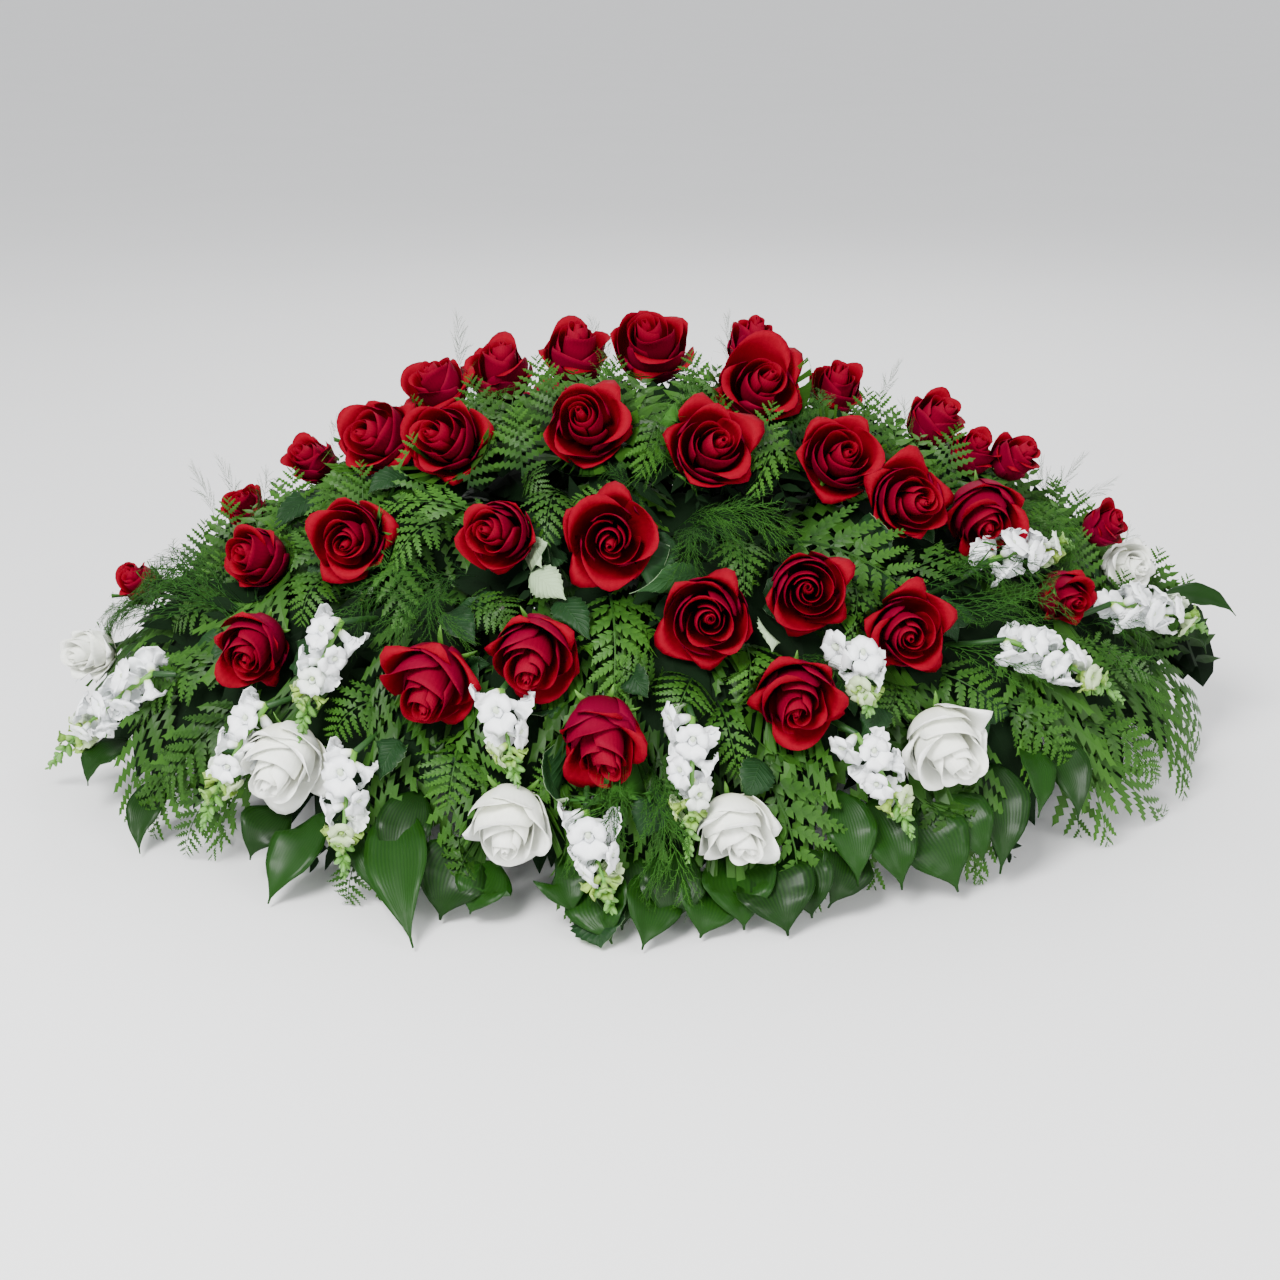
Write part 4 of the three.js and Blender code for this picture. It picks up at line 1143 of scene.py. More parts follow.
OPEN_FLORET = floret(1, 0.36, 1.0, 0.0)
HALF_FLORET = floret(2, 0.22, 0.35, 0.15, (4, 3))
BUD = bud(0.55)
GREEN_BUD = bud(1.0)
print("open floret", triangles_in(OPEN_FLORET), "triangles")

# %% Places of the heads: pixels of the lowest floret and of the tip
SNAPDRAGONS = (
    (165, 678, 60, 776), (276, 708, 212, 830), (350, 626, 308, 744), (362, 752, 352, 876),
    (506, 692, 522, 786), (588, 808, 616, 914), (690, 718, 686, 860), (850, 735, 905, 836),
    (848, 648, 862, 718), (980, 570, 1064, 556), (996, 645, 1112, 706), (1100, 612, 1196, 640),
)
BACK_SNAPDRAGONS = ((42, 0.84), (140, 0.84))
BACK_HEAD_SHARE = 0.2
FLORET_REACH = 0.027
HEAD_LIFT = 0.012
HEAD_ARCH = 0.008
HEAD_FLOOR = 0.020
FLORET_GAP = 0.0062
OPEN_SHARE = 0.56
HEAD_STEPS = 9
# Shape, how many, shares of the stalk, size at both ends, tilt
HEAD_ZONES = (
    (OPEN_FLORET, None, 0.0, 0.58, 1.0, 0.74, 1.25),
    (HALF_FLORET, 4, 0.59, 0.69, 0.72, 0.58, 1.0),
    (BUD, 8, 0.70, 0.88, 0.64, 0.44, 0.85),
    (GREEN_BUD, 9, 0.87, 1.0, 0.44, 0.2, 0.6),
)


# %% One head
def head_path(low, tip):
    """Path of a head's stalk, a little off the mound"""
    middle = (low + tip) / 2
    off = shell_normal(middle)
    share = np.linspace(0, 1, HEAD_STEPS)[:, None]
    handle = (middle + off * HEAD_ARCH) * 2 - middle
    path = bowed(low, handle, tip, share) + off * HEAD_LIFT
    path[:, 2] = np.maximum(path[:, 2], HEAD_FLOOR)
    return path, np.broadcast_to(off, path.shape)


def copies_only(shape, count):
    """The copies in what the tree has grown, without the stem that comes before or after them"""
    spare = len(shape.points) - count
    stem_first = np.abs(shape.points[:spare, 0]).max() < 0.002
    low = spare if stem_first else 0
    starts = np.cumsum(shape.sides) - shape.sides
    owner = shape.corners[starts]
    kept = (owner >= low) & (owner < low + count)
    corners = shape.corners[np.repeat(kept, shape.sides)] - low
    values = {name: value[low : low + count] for name, value in shape.values.items()}
    return Shape(shape.points[low : low + count], corners, shape.sides[kept], values)


def head_shape(path, ups, number):
    """A head of florets and buds; the tree grows each zone, which is then sized and moved along"""
    length = length_of(path)
    opened = max(int(OPEN_SHARE * length / FLORET_GAP), 6)
    shapes = []
    for k, (shape, count, first, last, big, small, tilt) in enumerate(HEAD_ZONES):
        count = count or opened
        made = grown(
            shape, FLORET, Count=count, Begin=0.0, Gather=1.0, Start=1.0, Rise=0.0, Fall=0.0,
            Size=FLORET_REACH / length, Tilt=tilt, Close=0.1, Flat=0.0, Turn=GOLDEN, Loose=0.14,
            Stem=0.001, Sides=5, Rings=2, Seed=number * 10 + k,
        )
        made = copies_only(made, len(shape.points) * count)
        copy = (np.arange(len(made.points)) // len(shape.points)) / max(count - 1, 1)
        scale = (big + (small - big) * copy)[:, None]
        centres = np.stack([copy * 0, copy, copy * 0], -1)
        points = (made.points - centres) * scale + centres * (last - first) + (0, first, 0)
        ripe = np.clip((first + (last - first) * copy - 0.4) * 1.6, 0, 1)
        shapes.append(made.moved(points).toned(ripe=ripe))
    stalk = np.linspace(0, 0.97, 7)[:, None] * (0, 1, 0)
    radii = np.linspace(0.0026, 0.0008, 7) / length
    shapes.append(tube(stalk, radii, 5, {"under": 0.9, "ripe": 0.9}))
    head = joined(shapes)
    head = head.moved(head.points * (length, 1, length))
    return bend(head, path, ups, 1.0)


# %% Make the heads
heads = []
for number, row in enumerate(SNAPDRAGONS, 1):
    heads.append((number, seen_at(*row[:2]), seen_at(*row[2:])))
for number, (angle, share) in enumerate(BACK_SNAPDRAGONS, len(SNAPDRAGONS) + 1):
    heads.append((number, on_shell(angle, share), on_shell(angle, share + BACK_HEAD_SHARE)))
head_paths = []
for number, low, tip in heads:
    path, ups = head_path(low, tip)
    head_paths.append(path)
    node_name = f"snapdragon_{number:02d}"
    head = head_shape(path, ups, number)
    add_piece(node_name + "_florets", head, FLORET, "snapdragon_florets", [node_name])
print("snapdragons", sum(faces for name, faces in FACES.items() if "florets" in name), "triangles")

# %% [markdown]
# ## Room for the blooms
# Leaves lie between and behind the blooms. They don't pass through them. Any leaf point that
# falls inside a rose is moved by the shorter way: down to the rose's underside, or out past its
# rim. A point inside a snapdragon head is moved away from its stalk.

# %% Keep leaves out of the blooms
ROSE_RIM = 0.57
ROSE_TOP = 0.86
ROSE_UNDER = 0.34
DOWN_FIRST = 1.4
HEAD_ROOM = 0.019
HEAD_NARROWS = 0.6


def clear_of_blooms(points):
    """The points, moved out of every rose and every snapdragon head"""
    for rose in roses:
        width, axis, foot = rose["width"], rose["axis"], rose["foot"]
        offset = points - foot
        height = offset @ axis
        aside = offset - height[:, None] * axis
        radius = np.linalg.norm(aside, axis=1)
        # A rose's underside is a bowl, which is higher towards the rim
        under = ROSE_UNDER * width * np.clip(radius / (0.5 * width), 0, 1) ** 1.4 - 0.02 * width
        inside = (radius < ROSE_RIM * width) & (height > under) & (height < ROSE_TOP * width)
        down = height - under
        out = ROSE_RIM * width - radius
        go_down = inside & ((down < out * DOWN_FIRST) | (radius < 0.3 * width))
        go_out = inside & ~go_down
        points = points - axis * (down * go_down)[:, None]
        points = points + aside / np.maximum(radius, 1e-6)[:, None] * (out * go_out)[:, None]
    for path in head_paths:
        low, tip = path[0], path[-1]
        along = tip - low
        share = np.clip((points - low) @ along / (along @ along), 0, 1)
        offset = points - (low + share[:, None] * along)
        room = HEAD_ROOM * (1 - HEAD_NARROWS * share)
        distance = np.linalg.norm(offset, axis=1)
        move = np.maximum(room - distance, 0) / np.maximum(distance, 1e-6)
        points = points + offset * move[:, None]
    return points


# %% [markdown]
# ## Fern fronds
# Leatherleaf fern is a flat triangle of side ribs, each with its own two rows of leaflets. The
# smallest leaflet is a low keel of a few faces; the tree above grows it into a side rib, and
# that into a frond. Two fronds of each kind, with different seeds, are enough, because each copy
# is laid along a path of its own, over the mound, with its own width, roll and tone.


# %% Leaflets, and two fronds of each kind
def blade(widths, half_width, rise, places=None):
    """Closed leaf blade along +Y, one long, with a raised middle and a flat underside"""
    count = len(widths)
    places = places or np.linspace(0, 1, count + 2)[1:-1]
    points = [(0, 0, 0)]
    for width, y in zip(widths, places):
        points += [(-width * half_width, y, 0), (0, y, rise), (width * half_width, y, 0)]
    points.append((0, 1, 0))
    tip = len(points) - 1
    faces = [(0, 2, 1), (0, 3, 2), (0, 1, 3)]
    for i in range(count - 1):
        a, b = 1 + 3 * i, 4 + 3 * i
        faces += [(a, a + 1, b + 1, b), (a + 1, a + 2, b + 2, b + 1), (a + 2, a, b, b + 2)]
    a = tip - 3
    faces += [(a, a + 1, tip), (a + 1, a + 2, tip), (a + 2, a, tip)]
    values = {"along": np.array([point[1] for point in points])}
    return Shape(points, np.concatenate(faces), [len(face) for face in faces], values)


LEAFLET = blade((0.85, 0.9), 0.3, 0.06, (0.12, 0.55))
WEB = blade((0.8, 1.0, 0.6), 0.06, 0.012)
TOOTHED_RIB = blade((0.95, 0.3, 1.0, 0.28, 0.92, 0.26, 0.75, 0.22, 0.52, 0.15), 0.18, 0.03)
COARSE_LEAFLET = blade((0.9, 0.8, 0.4), 0.22, 0.05)


def trimmed(leaf):
    """A grown leaf, one wide to each side and riper towards its tip"""
    leaf.points[:, 0] /= np.abs(leaf.points[:, 0]).max()
    return leaf.toned(ripe=np.clip(leaf.points[:, 1], 0, 1))


def frond_of(side_rib, pairs, seed, loose=0.09, size=0.48):
    made = grown(
        side_rib, FERN, Count=2 * pairs, Begin=0.07, Gather=1.35, Start=0.62, Rise=2.6, Fall=0.85,
        Size=size, Tilt=1.12, Close=0.45, Loose=loose, Stem=0.011, Sides=4, Rings=7, Seed=seed,
    )
    print("frond of seed", seed, triangles_in(made), "triangles")
    return trimmed(made)


fern_fronds = []
for seed, (pairs, leaflets) in enumerate(((9, 15), (9, 13))):
    side_rib = grown(
        LEAFLET, FERN, Count=leaflets, Begin=0.06, Gather=1.2, Start=0.85, Rise=1.5, Fall=0.5,
        Size=0.225, Tilt=0.85, Close=0.3, Loose=0.10, Stem=0.014, Sides=3, Rings=3, Seed=20 + seed,
    )
    fern_fronds.append(frond_of(joined([side_rib, WEB]), pairs, 30 + seed))
plain_fronds = [frond_of(TOOTHED_RIB, 8, 34 + seed) for seed in range(2)]
coarse_fronds = [frond_of(COARSE_LEAFLET, 7, 40 + seed, 0.16, 0.42) for seed in range(2)]
CORE_LEAF = blade((0.7, 1.0, 0.95, 0.6), 1.0, 0.1)

# %% [markdown]
# The fronds that can be told apart in the front view are placed by the pixels of foot and tip.
# The skirt fronds follow the CAD model's rule: a start on the long axis, a direction, and the
# shares of the way where the leaf begins and ends. A third set fills all round between them.

# %% Places of the fronds: foot and tip pixels, half width in mm, tone
FERNS = (
    (530, 405, 480, 455, 22, 0.5), (490, 500, 377, 504, 20, 0.9), (450, 500, 390, 565, 26, 0.6),
    (370, 478, 318, 505, 22, 0.5), (485, 585, 512, 625, 22, 0.2), (810, 425, 755, 490, 28, 0.6),
    (798, 518, 922, 600, 44, 0.5), (912, 462, 1008, 540, 23, 0.5), (868, 440, 948, 430, 20, 0.5),
    (900, 560, 975, 545, 24, 0.4), (335, 548, 250, 565, 24, 0.6), (330, 560, 300, 620, 26, 0.5),
    (230, 650, 140, 715, 26, 0.6), (200, 740, 140, 825, 26, 0.2), (215, 770, 185, 850, 26, 0.2),
    (590, 762, 535, 790, 28, 0.5), (452, 728, 446, 806, 32, 0.6), (390, 690, 330, 735, 28, 0.5),
    (450, 590, 512, 628, 22, 0.4), (605, 575, 613, 697, 41, 0.7), (752, 628, 750, 700, 30, 1.0),
    (722, 686, 738, 772, 26, 0.6), (700, 665, 672, 722, 30, 0.6), (750, 740, 800, 905, 48, 0.5),
    (905, 668, 880, 720, 26, 0.5), (940, 655, 1005, 710, 30, 0.6), (1010, 690, 1070, 760, 28, 0.5),
    (930, 760, 968, 865, 34, 0.2), (1030, 640, 1125, 655, 24, 0.5), (1060, 680, 1150, 672, 24, 0.5),
    (1080, 700, 1160, 775, 26, 0.4), (430, 395, 385, 392, 18, 0.5), (520, 470, 548, 492, 18, 0.2),
    (650, 500, 572, 495, 16, 0.5), (865, 398, 907, 446, 20, 0.4), (250, 540, 178, 572, 24, 0.5),
    (500, 830, 450, 890, 28, 0.2), (345, 850, 325, 920, 22, 0.3), (660, 400, 640, 470, 30, 0.5),
    (560, 470, 545, 540, 26, 0.4), (750, 520, 745, 590, 28, 0.4), (660, 690, 610, 660, 26, 0.4),
    (860, 560, 850, 640, 28, 0.4), (225, 690, 160, 790, 30, 0.3), (700, 760, 668, 812, 24, 0.5),
    (246, 590, 172, 622, 26, 0.4), (1085, 720, 1156, 778, 30, 0.6),
)
# Start on the long axis in mm, direction, shares of the way, half width in mm, depth
SIDE_FRONDS = (
    (-120, 187, 0.50, 1.03, 60, 0.90), (-120, 206, 0.52, 1.04, 56, 0.84),
    (-110, 223, 0.50, 1.04, 58, 0.90), (-100, 240, 0.52, 1.04, 56, 0.84),
    (-95, 257, 0.52, 1.04, 54, 0.90), (-110, 205, 0.10, 0.56, 52, 0.84), (-90, 240, 0.18, 0.60, 50, 0.84),
    (-130, 166, 0.50, 1.02, 58, 0.90), (-120, 140, 0.50, 1.02, 58, 0.84),
    (-100, 112, 0.50, 1.02, 56, 0.90), (-110, 150, 0.16, 0.56, 54, 0.84),
)
MIDDLE_FRONDS = (
    (-36, 268, 0.50, 1.04, 54, 0.84), (38, 273, 0.50, 1.04, 54, 0.90), (0, 270, 0.14, 0.58, 52, 0.84),
    (0, 90, 0.50, 1.02, 56, 0.90),
)
TWIN_TURN = 4
rule_fronds = list(MIDDLE_FRONDS)
for start, angle, *rest in SIDE_FRONDS:
    rule_fronds += [(start, angle, *rest), (-start, 180 - angle + TWIN_TURN, *rest)]

SECTOR_HALF = 0.15
SECTOR_SPLIT = 0.03
baskets = {}


def gather(kind, shape):
    """Put a laid leaf in the basket of its kind and sector"""
    x, y = shape.points.mean(axis=0)[:2]
    column = "left" if x < -SECTOR_HALF else "right" if x > SECTOR_HALF else "middle"
    sector = ("back_" if y > SECTOR_SPLIT else "front_") + column
    baskets.setdefault((kind, sector), []).append(shape)


FRONT_TURN = 1.1
FRONT_FADE = 0.12
FROND_ROLL = 0.22
FROND_SAG = (0.15, 0.4)
FROND_LIFT = 0.8


def to_front(path, ups):
    """Upper sides of a leaf, turned towards the viewer as florists do at the front"""
    share = np.clip((FRONT_FADE / 2 - path[:, 1:2]) / FRONT_FADE, 0, 1)
    return unit(ups + FRONT_TURN * share * unit(EYE - path))


def lay_frond(kind, frond, path, ups, half_width, tone, draw):
    """Lay a flat leaf along a path, clear of the blooms, and gather it"""
    roll = draw.uniform(-FROND_ROLL, FROND_ROLL)
    sag = draw.uniform(*FROND_SAG)
    laid = bend(frond, path, to_front(path, ups), half_width, roll, sag, FROND_LIFT)
    laid = laid.moved(clear_of_blooms(laid.points))
    own = np.clip(tone + (frond.values["tone"] - 0.5) * 0.35, 0, 1)
    gather(kind, laid.toned(tone=own))


# %% Lay a leaf over the mound, or in rows along it
draw = np.random.default_rng(5)
GOLDEN_DEGREES = math.degrees(GOLDEN)
GOLDEN_SHARE = 0.618
SWAY = 0.1


def stray(amount):
    """A random number on either side of zero"""
    return draw.uniform(-amount, amount)


def lay_over(kind, leaf, ends, depth, sway, half, tone, dive=0.03, belly=0.012, droop=0.0, hand=draw):
    """Lay a leaf over the mound between two ends; the hand draws its roll and sag"""
    path, ups = over(*ends, depth, dive, belly, droop, sway)
    lay_frond(kind, leaf, path, ups, half, tone, hand)


def along_crest(i, count, half_length):
    """Place from left to right of one in a row along the crest"""
    return (i / (count - 1) * 2 - 1) * half_length


# %% Lay the ferns
FERN_DEPTH = 0.985
WIDE_FERN = 29
for *ends, half, tone in FERNS:
    path, ups = pixel_path(ends, FERN_DEPTH, dive=0.03, belly=0.008, droop=0.004, sway=stray(SWAY))
    lay_frond("ferns", fern_fronds[0 if half > WIDE_FERN else 1], path, ups, half * MM, tone, draw)
for i, (start, angle, low, high, half, depth) in enumerate(rule_fronds):
    ends = [on_shell(angle, share, depth, start * MM) for share in (low, high)]
    sway = stray(0.06)
    lay_over("ferns", plain_fronds[i % 2], ends, depth, sway, half * MM, draw.uniform(0.2, 0.6), belly=0.01)

FILLERS = 38
for i in range(FILLERS):
    angle = (i * GOLDEN_DEGREES) % 360
    share = 0.25 + 0.62 * math.sqrt((i * 0.37) % 1)
    ends = [on_shell(angle, share, 0.93)]
    ends.append(on_shell(angle + stray(16), share + draw.uniform(0.2, 0.3), 0.97))
    sway = stray(SWAY)
    half = draw.uniform(24, 32) * MM
    lay_over("ferns", plain_fronds[i % 2], ends, 0.95, sway, half, draw.uniform(0.15, 0.75), droop=0.006)

# The back has fewer flowers, so more fronds lie there
BACK_FILLERS = 16
for i in range(BACK_FILLERS):
    angle = 18 + 144 * (i + 0.5) / BACK_FILLERS
    share = 0.42 + 0.2 * (i % 2)
    ends = (on_shell(angle, share, 0.94), on_shell(angle + stray(10), share + 0.28, 0.98))
    sway = stray(SWAY)
    lay_over("ferns", plain_fronds[i % 2], ends, 0.96, sway, 0.034, draw.uniform(0.15, 0.75), droop=0.006)

SKIRT_FRONDS = 30
for i in range(SKIRT_FRONDS):
    angle = (i + 0.5) * 360 / SKIRT_FRONDS
    first = on_shell(angle, 0.74 + 0.06 * (i % 3), 0.95)
    ends = (first, on_shell(angle + stray(7), 1.0, 0.98 + 0.03 * (i % 2)))
    half = draw.uniform(0.026, 0.034)
    tone = draw.uniform(0.1, 0.6)
    lay_over("ferns", plain_fronds[i % 2], ends, 0.96, 0.0, half, tone, dive=0.02, droop=0.004)

# Along the crest, where the eye looks over the mound, fronds stand close together
CREST_FRONDS = 22
for i in range(CREST_FRONDS):
    x = along_crest(i, CREST_FRONDS, 0.43)
    first = settled((x, (0.02, 0.10, -0.04, 0.15)[i % 4], 0.2), 0.9)
    heading = unit(np.array([x * 1.2 + stray(0.25), stray(0.35), 0.0]))
    ends = (first, first + heading * draw.uniform(0.08, 0.12))
    sway = stray(SWAY)
    half = draw.uniform(0.022, 0.03)
    lay_over("ferns", plain_fronds[i % 2], ends, 0.975, sway, half, draw.uniform(0.2, 0.6), dive=0.05)
print("ferns laid", len(FERNS) + len(rule_fronds) + FILLERS + BACK_FILLERS + SKIRT_FRONDS + CREST_FRONDS)

# %% [markdown]
# Under them lies a layer of coarser fronds at several depths, with plain leaves among them, all in
# a near-black green that is painted shade. It closes the mound, so the foam doesn't show between
# the flowers, and keeps the gaps dark as shade.

# %% Lay the under-layer
def lay_shade_leaf(ends, depth, half, hand=draw):
    """Lay a plain leaf, near-black as painted shade, that closes the mound from within"""
    lay_over("under_ferns", CORE_LEAF, ends, depth, 0.0, half, 0.0, dive=0.0, belly=0.004, hand=hand)


def any_heading():
    """Level direction to any side"""
    return unit(np.append(draw.uniform(-1, 1, 2), 0.0))


UNDER_FRONDS = 70
for i in range(UNDER_FRONDS):
    level = (0.66, 0.79, 0.91)[i % 3]
    angle = (i * GOLDEN_DEGREES) % 360
    share = math.sqrt((i + 0.5) / UNDER_FRONDS) * 0.8
    ends = [on_shell(angle, share, level)]
    ends.append(on_shell(angle + stray(25), min(share + draw.uniform(0.22, 0.34), 1.0), level))
    sway = stray(SWAY)
    half = draw.uniform(40, 54) * MM
    lay_over("under_ferns", coarse_fronds[i % 2], ends, level, sway, half, draw.uniform(0, 0.3))

CREST_UNDER = 30
for i in range(CREST_UNDER):
    level = (0.84, 0.9, 0.95)[i % 3]
    y = -0.14 + 0.36 * ((i * GOLDEN_SHARE) % 1)
    first = settled((along_crest(i, CREST_UNDER, 0.45), y, 0.2), level)
    ends = (first, settled(first + any_heading() * draw.uniform(0.1, 0.14), level))
    half = draw.uniform(0.045, 0.06)
    lay_over("under_ferns", coarse_fronds[i % 2], ends, level, 0.0, half, 0.1, dive=0.02, belly=0.008)

CORE_LEAVES = 90
for i in range(CORE_LEAVES):
    level = (0.76, 0.83, 0.89)[i % 3]
    y = -0.18 + 0.38 * ((i * GOLDEN_SHARE) % 1)
    first = settled((along_crest(i, CORE_LEAVES, 0.44), y, 0.2), level)
    lay_shade_leaf((first, settled(first + any_heading() * 0.085, level)), level, 0.032)

# Leaves dark with painted shade hang behind the skirt, and others lean on the back of the crest
SKIRT_CORE = 84
for i in range(SKIRT_CORE):
    angle = i * 360 / SKIRT_CORE
    first = on_shell(angle, 0.68 + 0.08 * (i % 2), 0.9)
    lay_shade_leaf((first, on_shell(angle + stray(8), 0.93 + 0.05 * (i % 2), 0.94)), 0.92, 0.026)

BACK_CREST = 24
for i in range(BACK_CREST):
    x = along_crest(i, BACK_CREST, 0.43)
    first = settled((x + stray(0.02), 0.15 + 0.04 * (i % 2), 0.2), 0.9)
    ends = (first, settled((x + stray(0.04), 0.045, 0.3), 0.99))
    lay_over("ferns", plain_fronds[i % 2], ends, 0.96, 0.0, 0.034, draw.uniform(0.1, 0.7), dive=0.02)
    lay_shade_leaf(ends, 0.88, 0.024)

# Painted-shade leaves lie behind the plumes that hang at the front, and behind two gaps that the eye would
# look through
PLUME_BACKS = ((600, 800, 604, 880), (630, 785, 638, 878), (656, 778, 664, 875), (684, 785, 692, 880))
GAP_BACKS = ((492, 470, 532, 502), (505, 498, 520, 462), (585, 592, 622, 602), (600, 620, 606, 575))
gap_draw = np.random.default_rng(71)
for rows, depth, hand in ((PLUME_BACKS, 0.9, draw), (GAP_BACKS, 0.82, gap_draw)):
    for row in rows:
        lay_shade_leaf((seen_at(*row[:2], depth), seen_at(*row[2:], depth)), depth, 0.024, hand)
print("under-layer laid", UNDER_FRONDS + CREST_UNDER, "fronds and", CORE_LEAVES + SKIRT_CORE, "leaves")

# %% [markdown]
# ## The crest
# Seen from the front, the greenery ends in an outline that passes the middles of the top roses.
# Fronds and plumes stand up to that outline. Behind them stand leaves in a near-black painted
# shade, which close the crest, so that the eye doesn't look through it.

# %% Greenery that stands up to the outline
# Pixels where the greenery's outline passes between the roses
OUTLINE = (
    (205, 520), (228, 498), (268, 474), (292, 468), (340, 442), (352, 425), (412, 396), (470, 376),
    (480, 368), (536, 356), (548, 362), (606, 350), (618, 356), (690, 352), (700, 362), (722, 356),
    (790, 366), (802, 378), (868, 388), (880, 392), (905, 404), (958, 424), (1000, 442), (1040, 462),
    (1052, 476), (1080, 490), (1130, 530), (1160, 548), (1190, 575),
)


STANDING_BOW = 0.012


def standing_path(foot_across, foot_down, across, down, depth=0.97, behind=0.02):
    """Path that rises from the mound to a pixel of its outline"""
    first = seen_at(foot_across, foot_down, depth)
    last = EYE + unit(sight_line(across, down)) * (np.linalg.norm(first - EYE) + behind)
    share = np.linspace(0, 1, PATH_STEPS)[:, None]
    path = first * (1 - share) + last * share + AHEAD * STANDING_BOW * np.sin(math.pi * share)
    return path, np.broadcast_to(unit(UP - AHEAD), path.shape)


outline = np.array(OUTLINE, float)
outline_run = np.concatenate([[0], np.cumsum(np.linalg.norm(np.diff(outline, axis=0), axis=1))])


def outline_at(share):
    """Pixel at a share of the outline's length"""
    run = share * outline_run[-1]
    return np.interp(run, outline_run, outline[:, 0]), np.interp(run, outline_run, outline[:, 1])


# Kind, leaf, how many, pixels from the outline down to foot and tip, half width, depth, and how
# far the tip stands behind the foot, in metres
CREST_ROWS = (
    # The first row's near-black leaves are painted shade that closes the crest
    ("under_ferns", CORE_LEAF, 110, 115, 26, 0.022, 0.88, 0.07),
    ("ferns", coarse_fronds[0], 30, 92, 6, 0.034, 0.90, 0.06),
    ("ferns", coarse_fronds[1], 30, 102, 22, 0.034, 0.92, 0.05),
    ("ferns", plain_fronds[1], 20, 116, 40, 0.027, 0.97, 0.02),
)
for kind, leaf, count, foot_drop, tip_drop, half, depth, behind in CREST_ROWS:
    for i in range(count):
        across, down = outline_at((i + draw.uniform(0.3, 0.7)) / count)
        lean = stray(24)
        drop = tip_drop + draw.uniform(-3, 8)
        path, ups = standing_path(across + lean, down + foot_drop, across, down + drop, depth, behind)
        lay_frond(kind, leaf, path, ups, half, draw.uniform(0.0, 0.55), draw)
print("crest filled with", sum(row[2] for row in CREST_ROWS), "leaves and fronds")

# %% [markdown]
# ## Asparagus plumes
# A plume is a feathery spray: needles stand in tufts along fine branchlets, and those along an
# arching stem. It is grown like the ferns, with needles for leaflets and a spiral for rows.
# Plumes lie on top of the ferns, hang at the front, and a few wisps stand out of the outline.

# %% Needles and two plumes
NEEDLE = Shape(
    [(-0.04, 0, 0), (0.04, 0, 0), (0, 0, 0.07), (0, 1, 0)],
    [0, 2, 1, 0, 1, 3, 1, 2, 3, 2, 0, 3], [3, 3, 3, 3], {"along": 0.5},
)
plumes = []
for seed in range(2):
    branchlet = grown(
        NEEDLE, PLUME, Count=18, Begin=0.08, Gather=1.0, Start=0.8, Rise=1.0, Fall=0.25, Size=0.24,
        Tilt=0.8, Close=0.3, Flat=0.0, Turn=GOLDEN, Loose=0.25, Stem=0.012, Sides=3, Rings=4, Seed=50 + seed,
    )
    curve = branchlet.points[:, 1:2] ** 2
    branchlet = branchlet.moved(branchlet.points + curve * (0.2 - 0.35 * seed, 0, 0.16))
    plume = grown(
        branchlet, PLUME, Count=22, Begin=0.10, Gather=1.1, Start=0.7, Rise=1.4, Fall=0.5, Size=0.5,
        Tilt=0.7, Close=0.2, Loose=0.42, Stem=0.006, Sides=3, Rings=7, Seed=60 + seed,
    )
    plumes.append(trimmed(plume))
    print("plume", seed, triangles_in(plume), "triangles")

# %% Places of the plumes: foot and tip pixels
FRONT_PLUMES = (
    (250, 585, 78, 610), (240, 610, 80, 650), (250, 570, 100, 600), (440, 560, 355, 600),
    (440, 565, 385, 650), (440, 560, 470, 640), (460, 550, 430, 640), (690, 375, 640, 470),
    (690, 380, 655, 440), (700, 370, 730, 380), (640, 480, 600, 470), (685, 505, 790, 560),
    (685, 505, 750, 580), (685, 505, 700, 575), (685, 505, 670, 570), (685, 505, 800, 530),
    (635, 745, 690, 905), (635, 745, 640, 900), (630, 745, 590, 880), (635, 745, 560, 860),
    (635, 745, 670, 830), (935, 590, 1060, 640), (930, 570, 1075, 610), (960, 600, 1040, 650),
    (940, 560, 1010, 600), (950, 620, 1060, 670), (1010, 470, 1070, 560), (1020, 470, 1095, 520),
    (1015, 500, 1080, 570), (825, 420, 828, 365), (860, 420, 845, 370), (870, 400, 905, 395),
    (490, 410, 505, 355), (415, 415, 370, 440), (390, 560, 335, 515), (246, 606, 84, 644),
    (800, 640, 850, 690), (252, 598, 72, 600), (430, 575, 400, 640), (640, 745, 610, 840),
    (945, 575, 1080, 590), (680, 500, 740, 545), (715, 400, 690, 470), (150, 605, 72, 625),
    (400, 570, 350, 640), (1100, 620, 1160, 700), (232, 612, 96, 628), (225, 625, 95, 635),
    (1090, 600, 1150, 640),
)
WISPS = (
    (460, 375, 457, 315), (215, 520, 192, 465), (240, 510, 218, 458), (1050, 500, 1085, 455),
    (1060, 515, 1115, 480), (730, 372, 728, 315), (600, 350, 590, 318), (880, 400, 900, 362),
)
BACK_PLUMES = (
    (14, 0.6, 1.02), (24, 0.5, 0.98), (50, 0.5, 1.0), (76, 0.6, 1.02), (94, 0.5, 0.98), (112, 0.6, 1.0),
    (134, 0.5, 1.0), (157, 0.5, 0.98), (168, 0.6, 1.03),
)
PLUME_DEPTH = 1.03
PLUME_HALF = 0.034
for i, row in enumerate(FRONT_PLUMES):
    path, ups = pixel_path(row, PLUME_DEPTH, dive=0.04, belly=0.012, droop=0.006, sway=stray(0.2))
    half = min(0.3 * np.linalg.norm(path[-1] - path[0]), PLUME_HALF)
    lay_frond("plumes", plumes[i % 2], path, ups, half, draw.uniform(0.3, 1), draw)
for i, row in enumerate(WISPS):
    path, ups = standing_path(*row)
    lay_frond("plumes", plumes[i % 2], path, ups, 0.013, 0.5, draw)
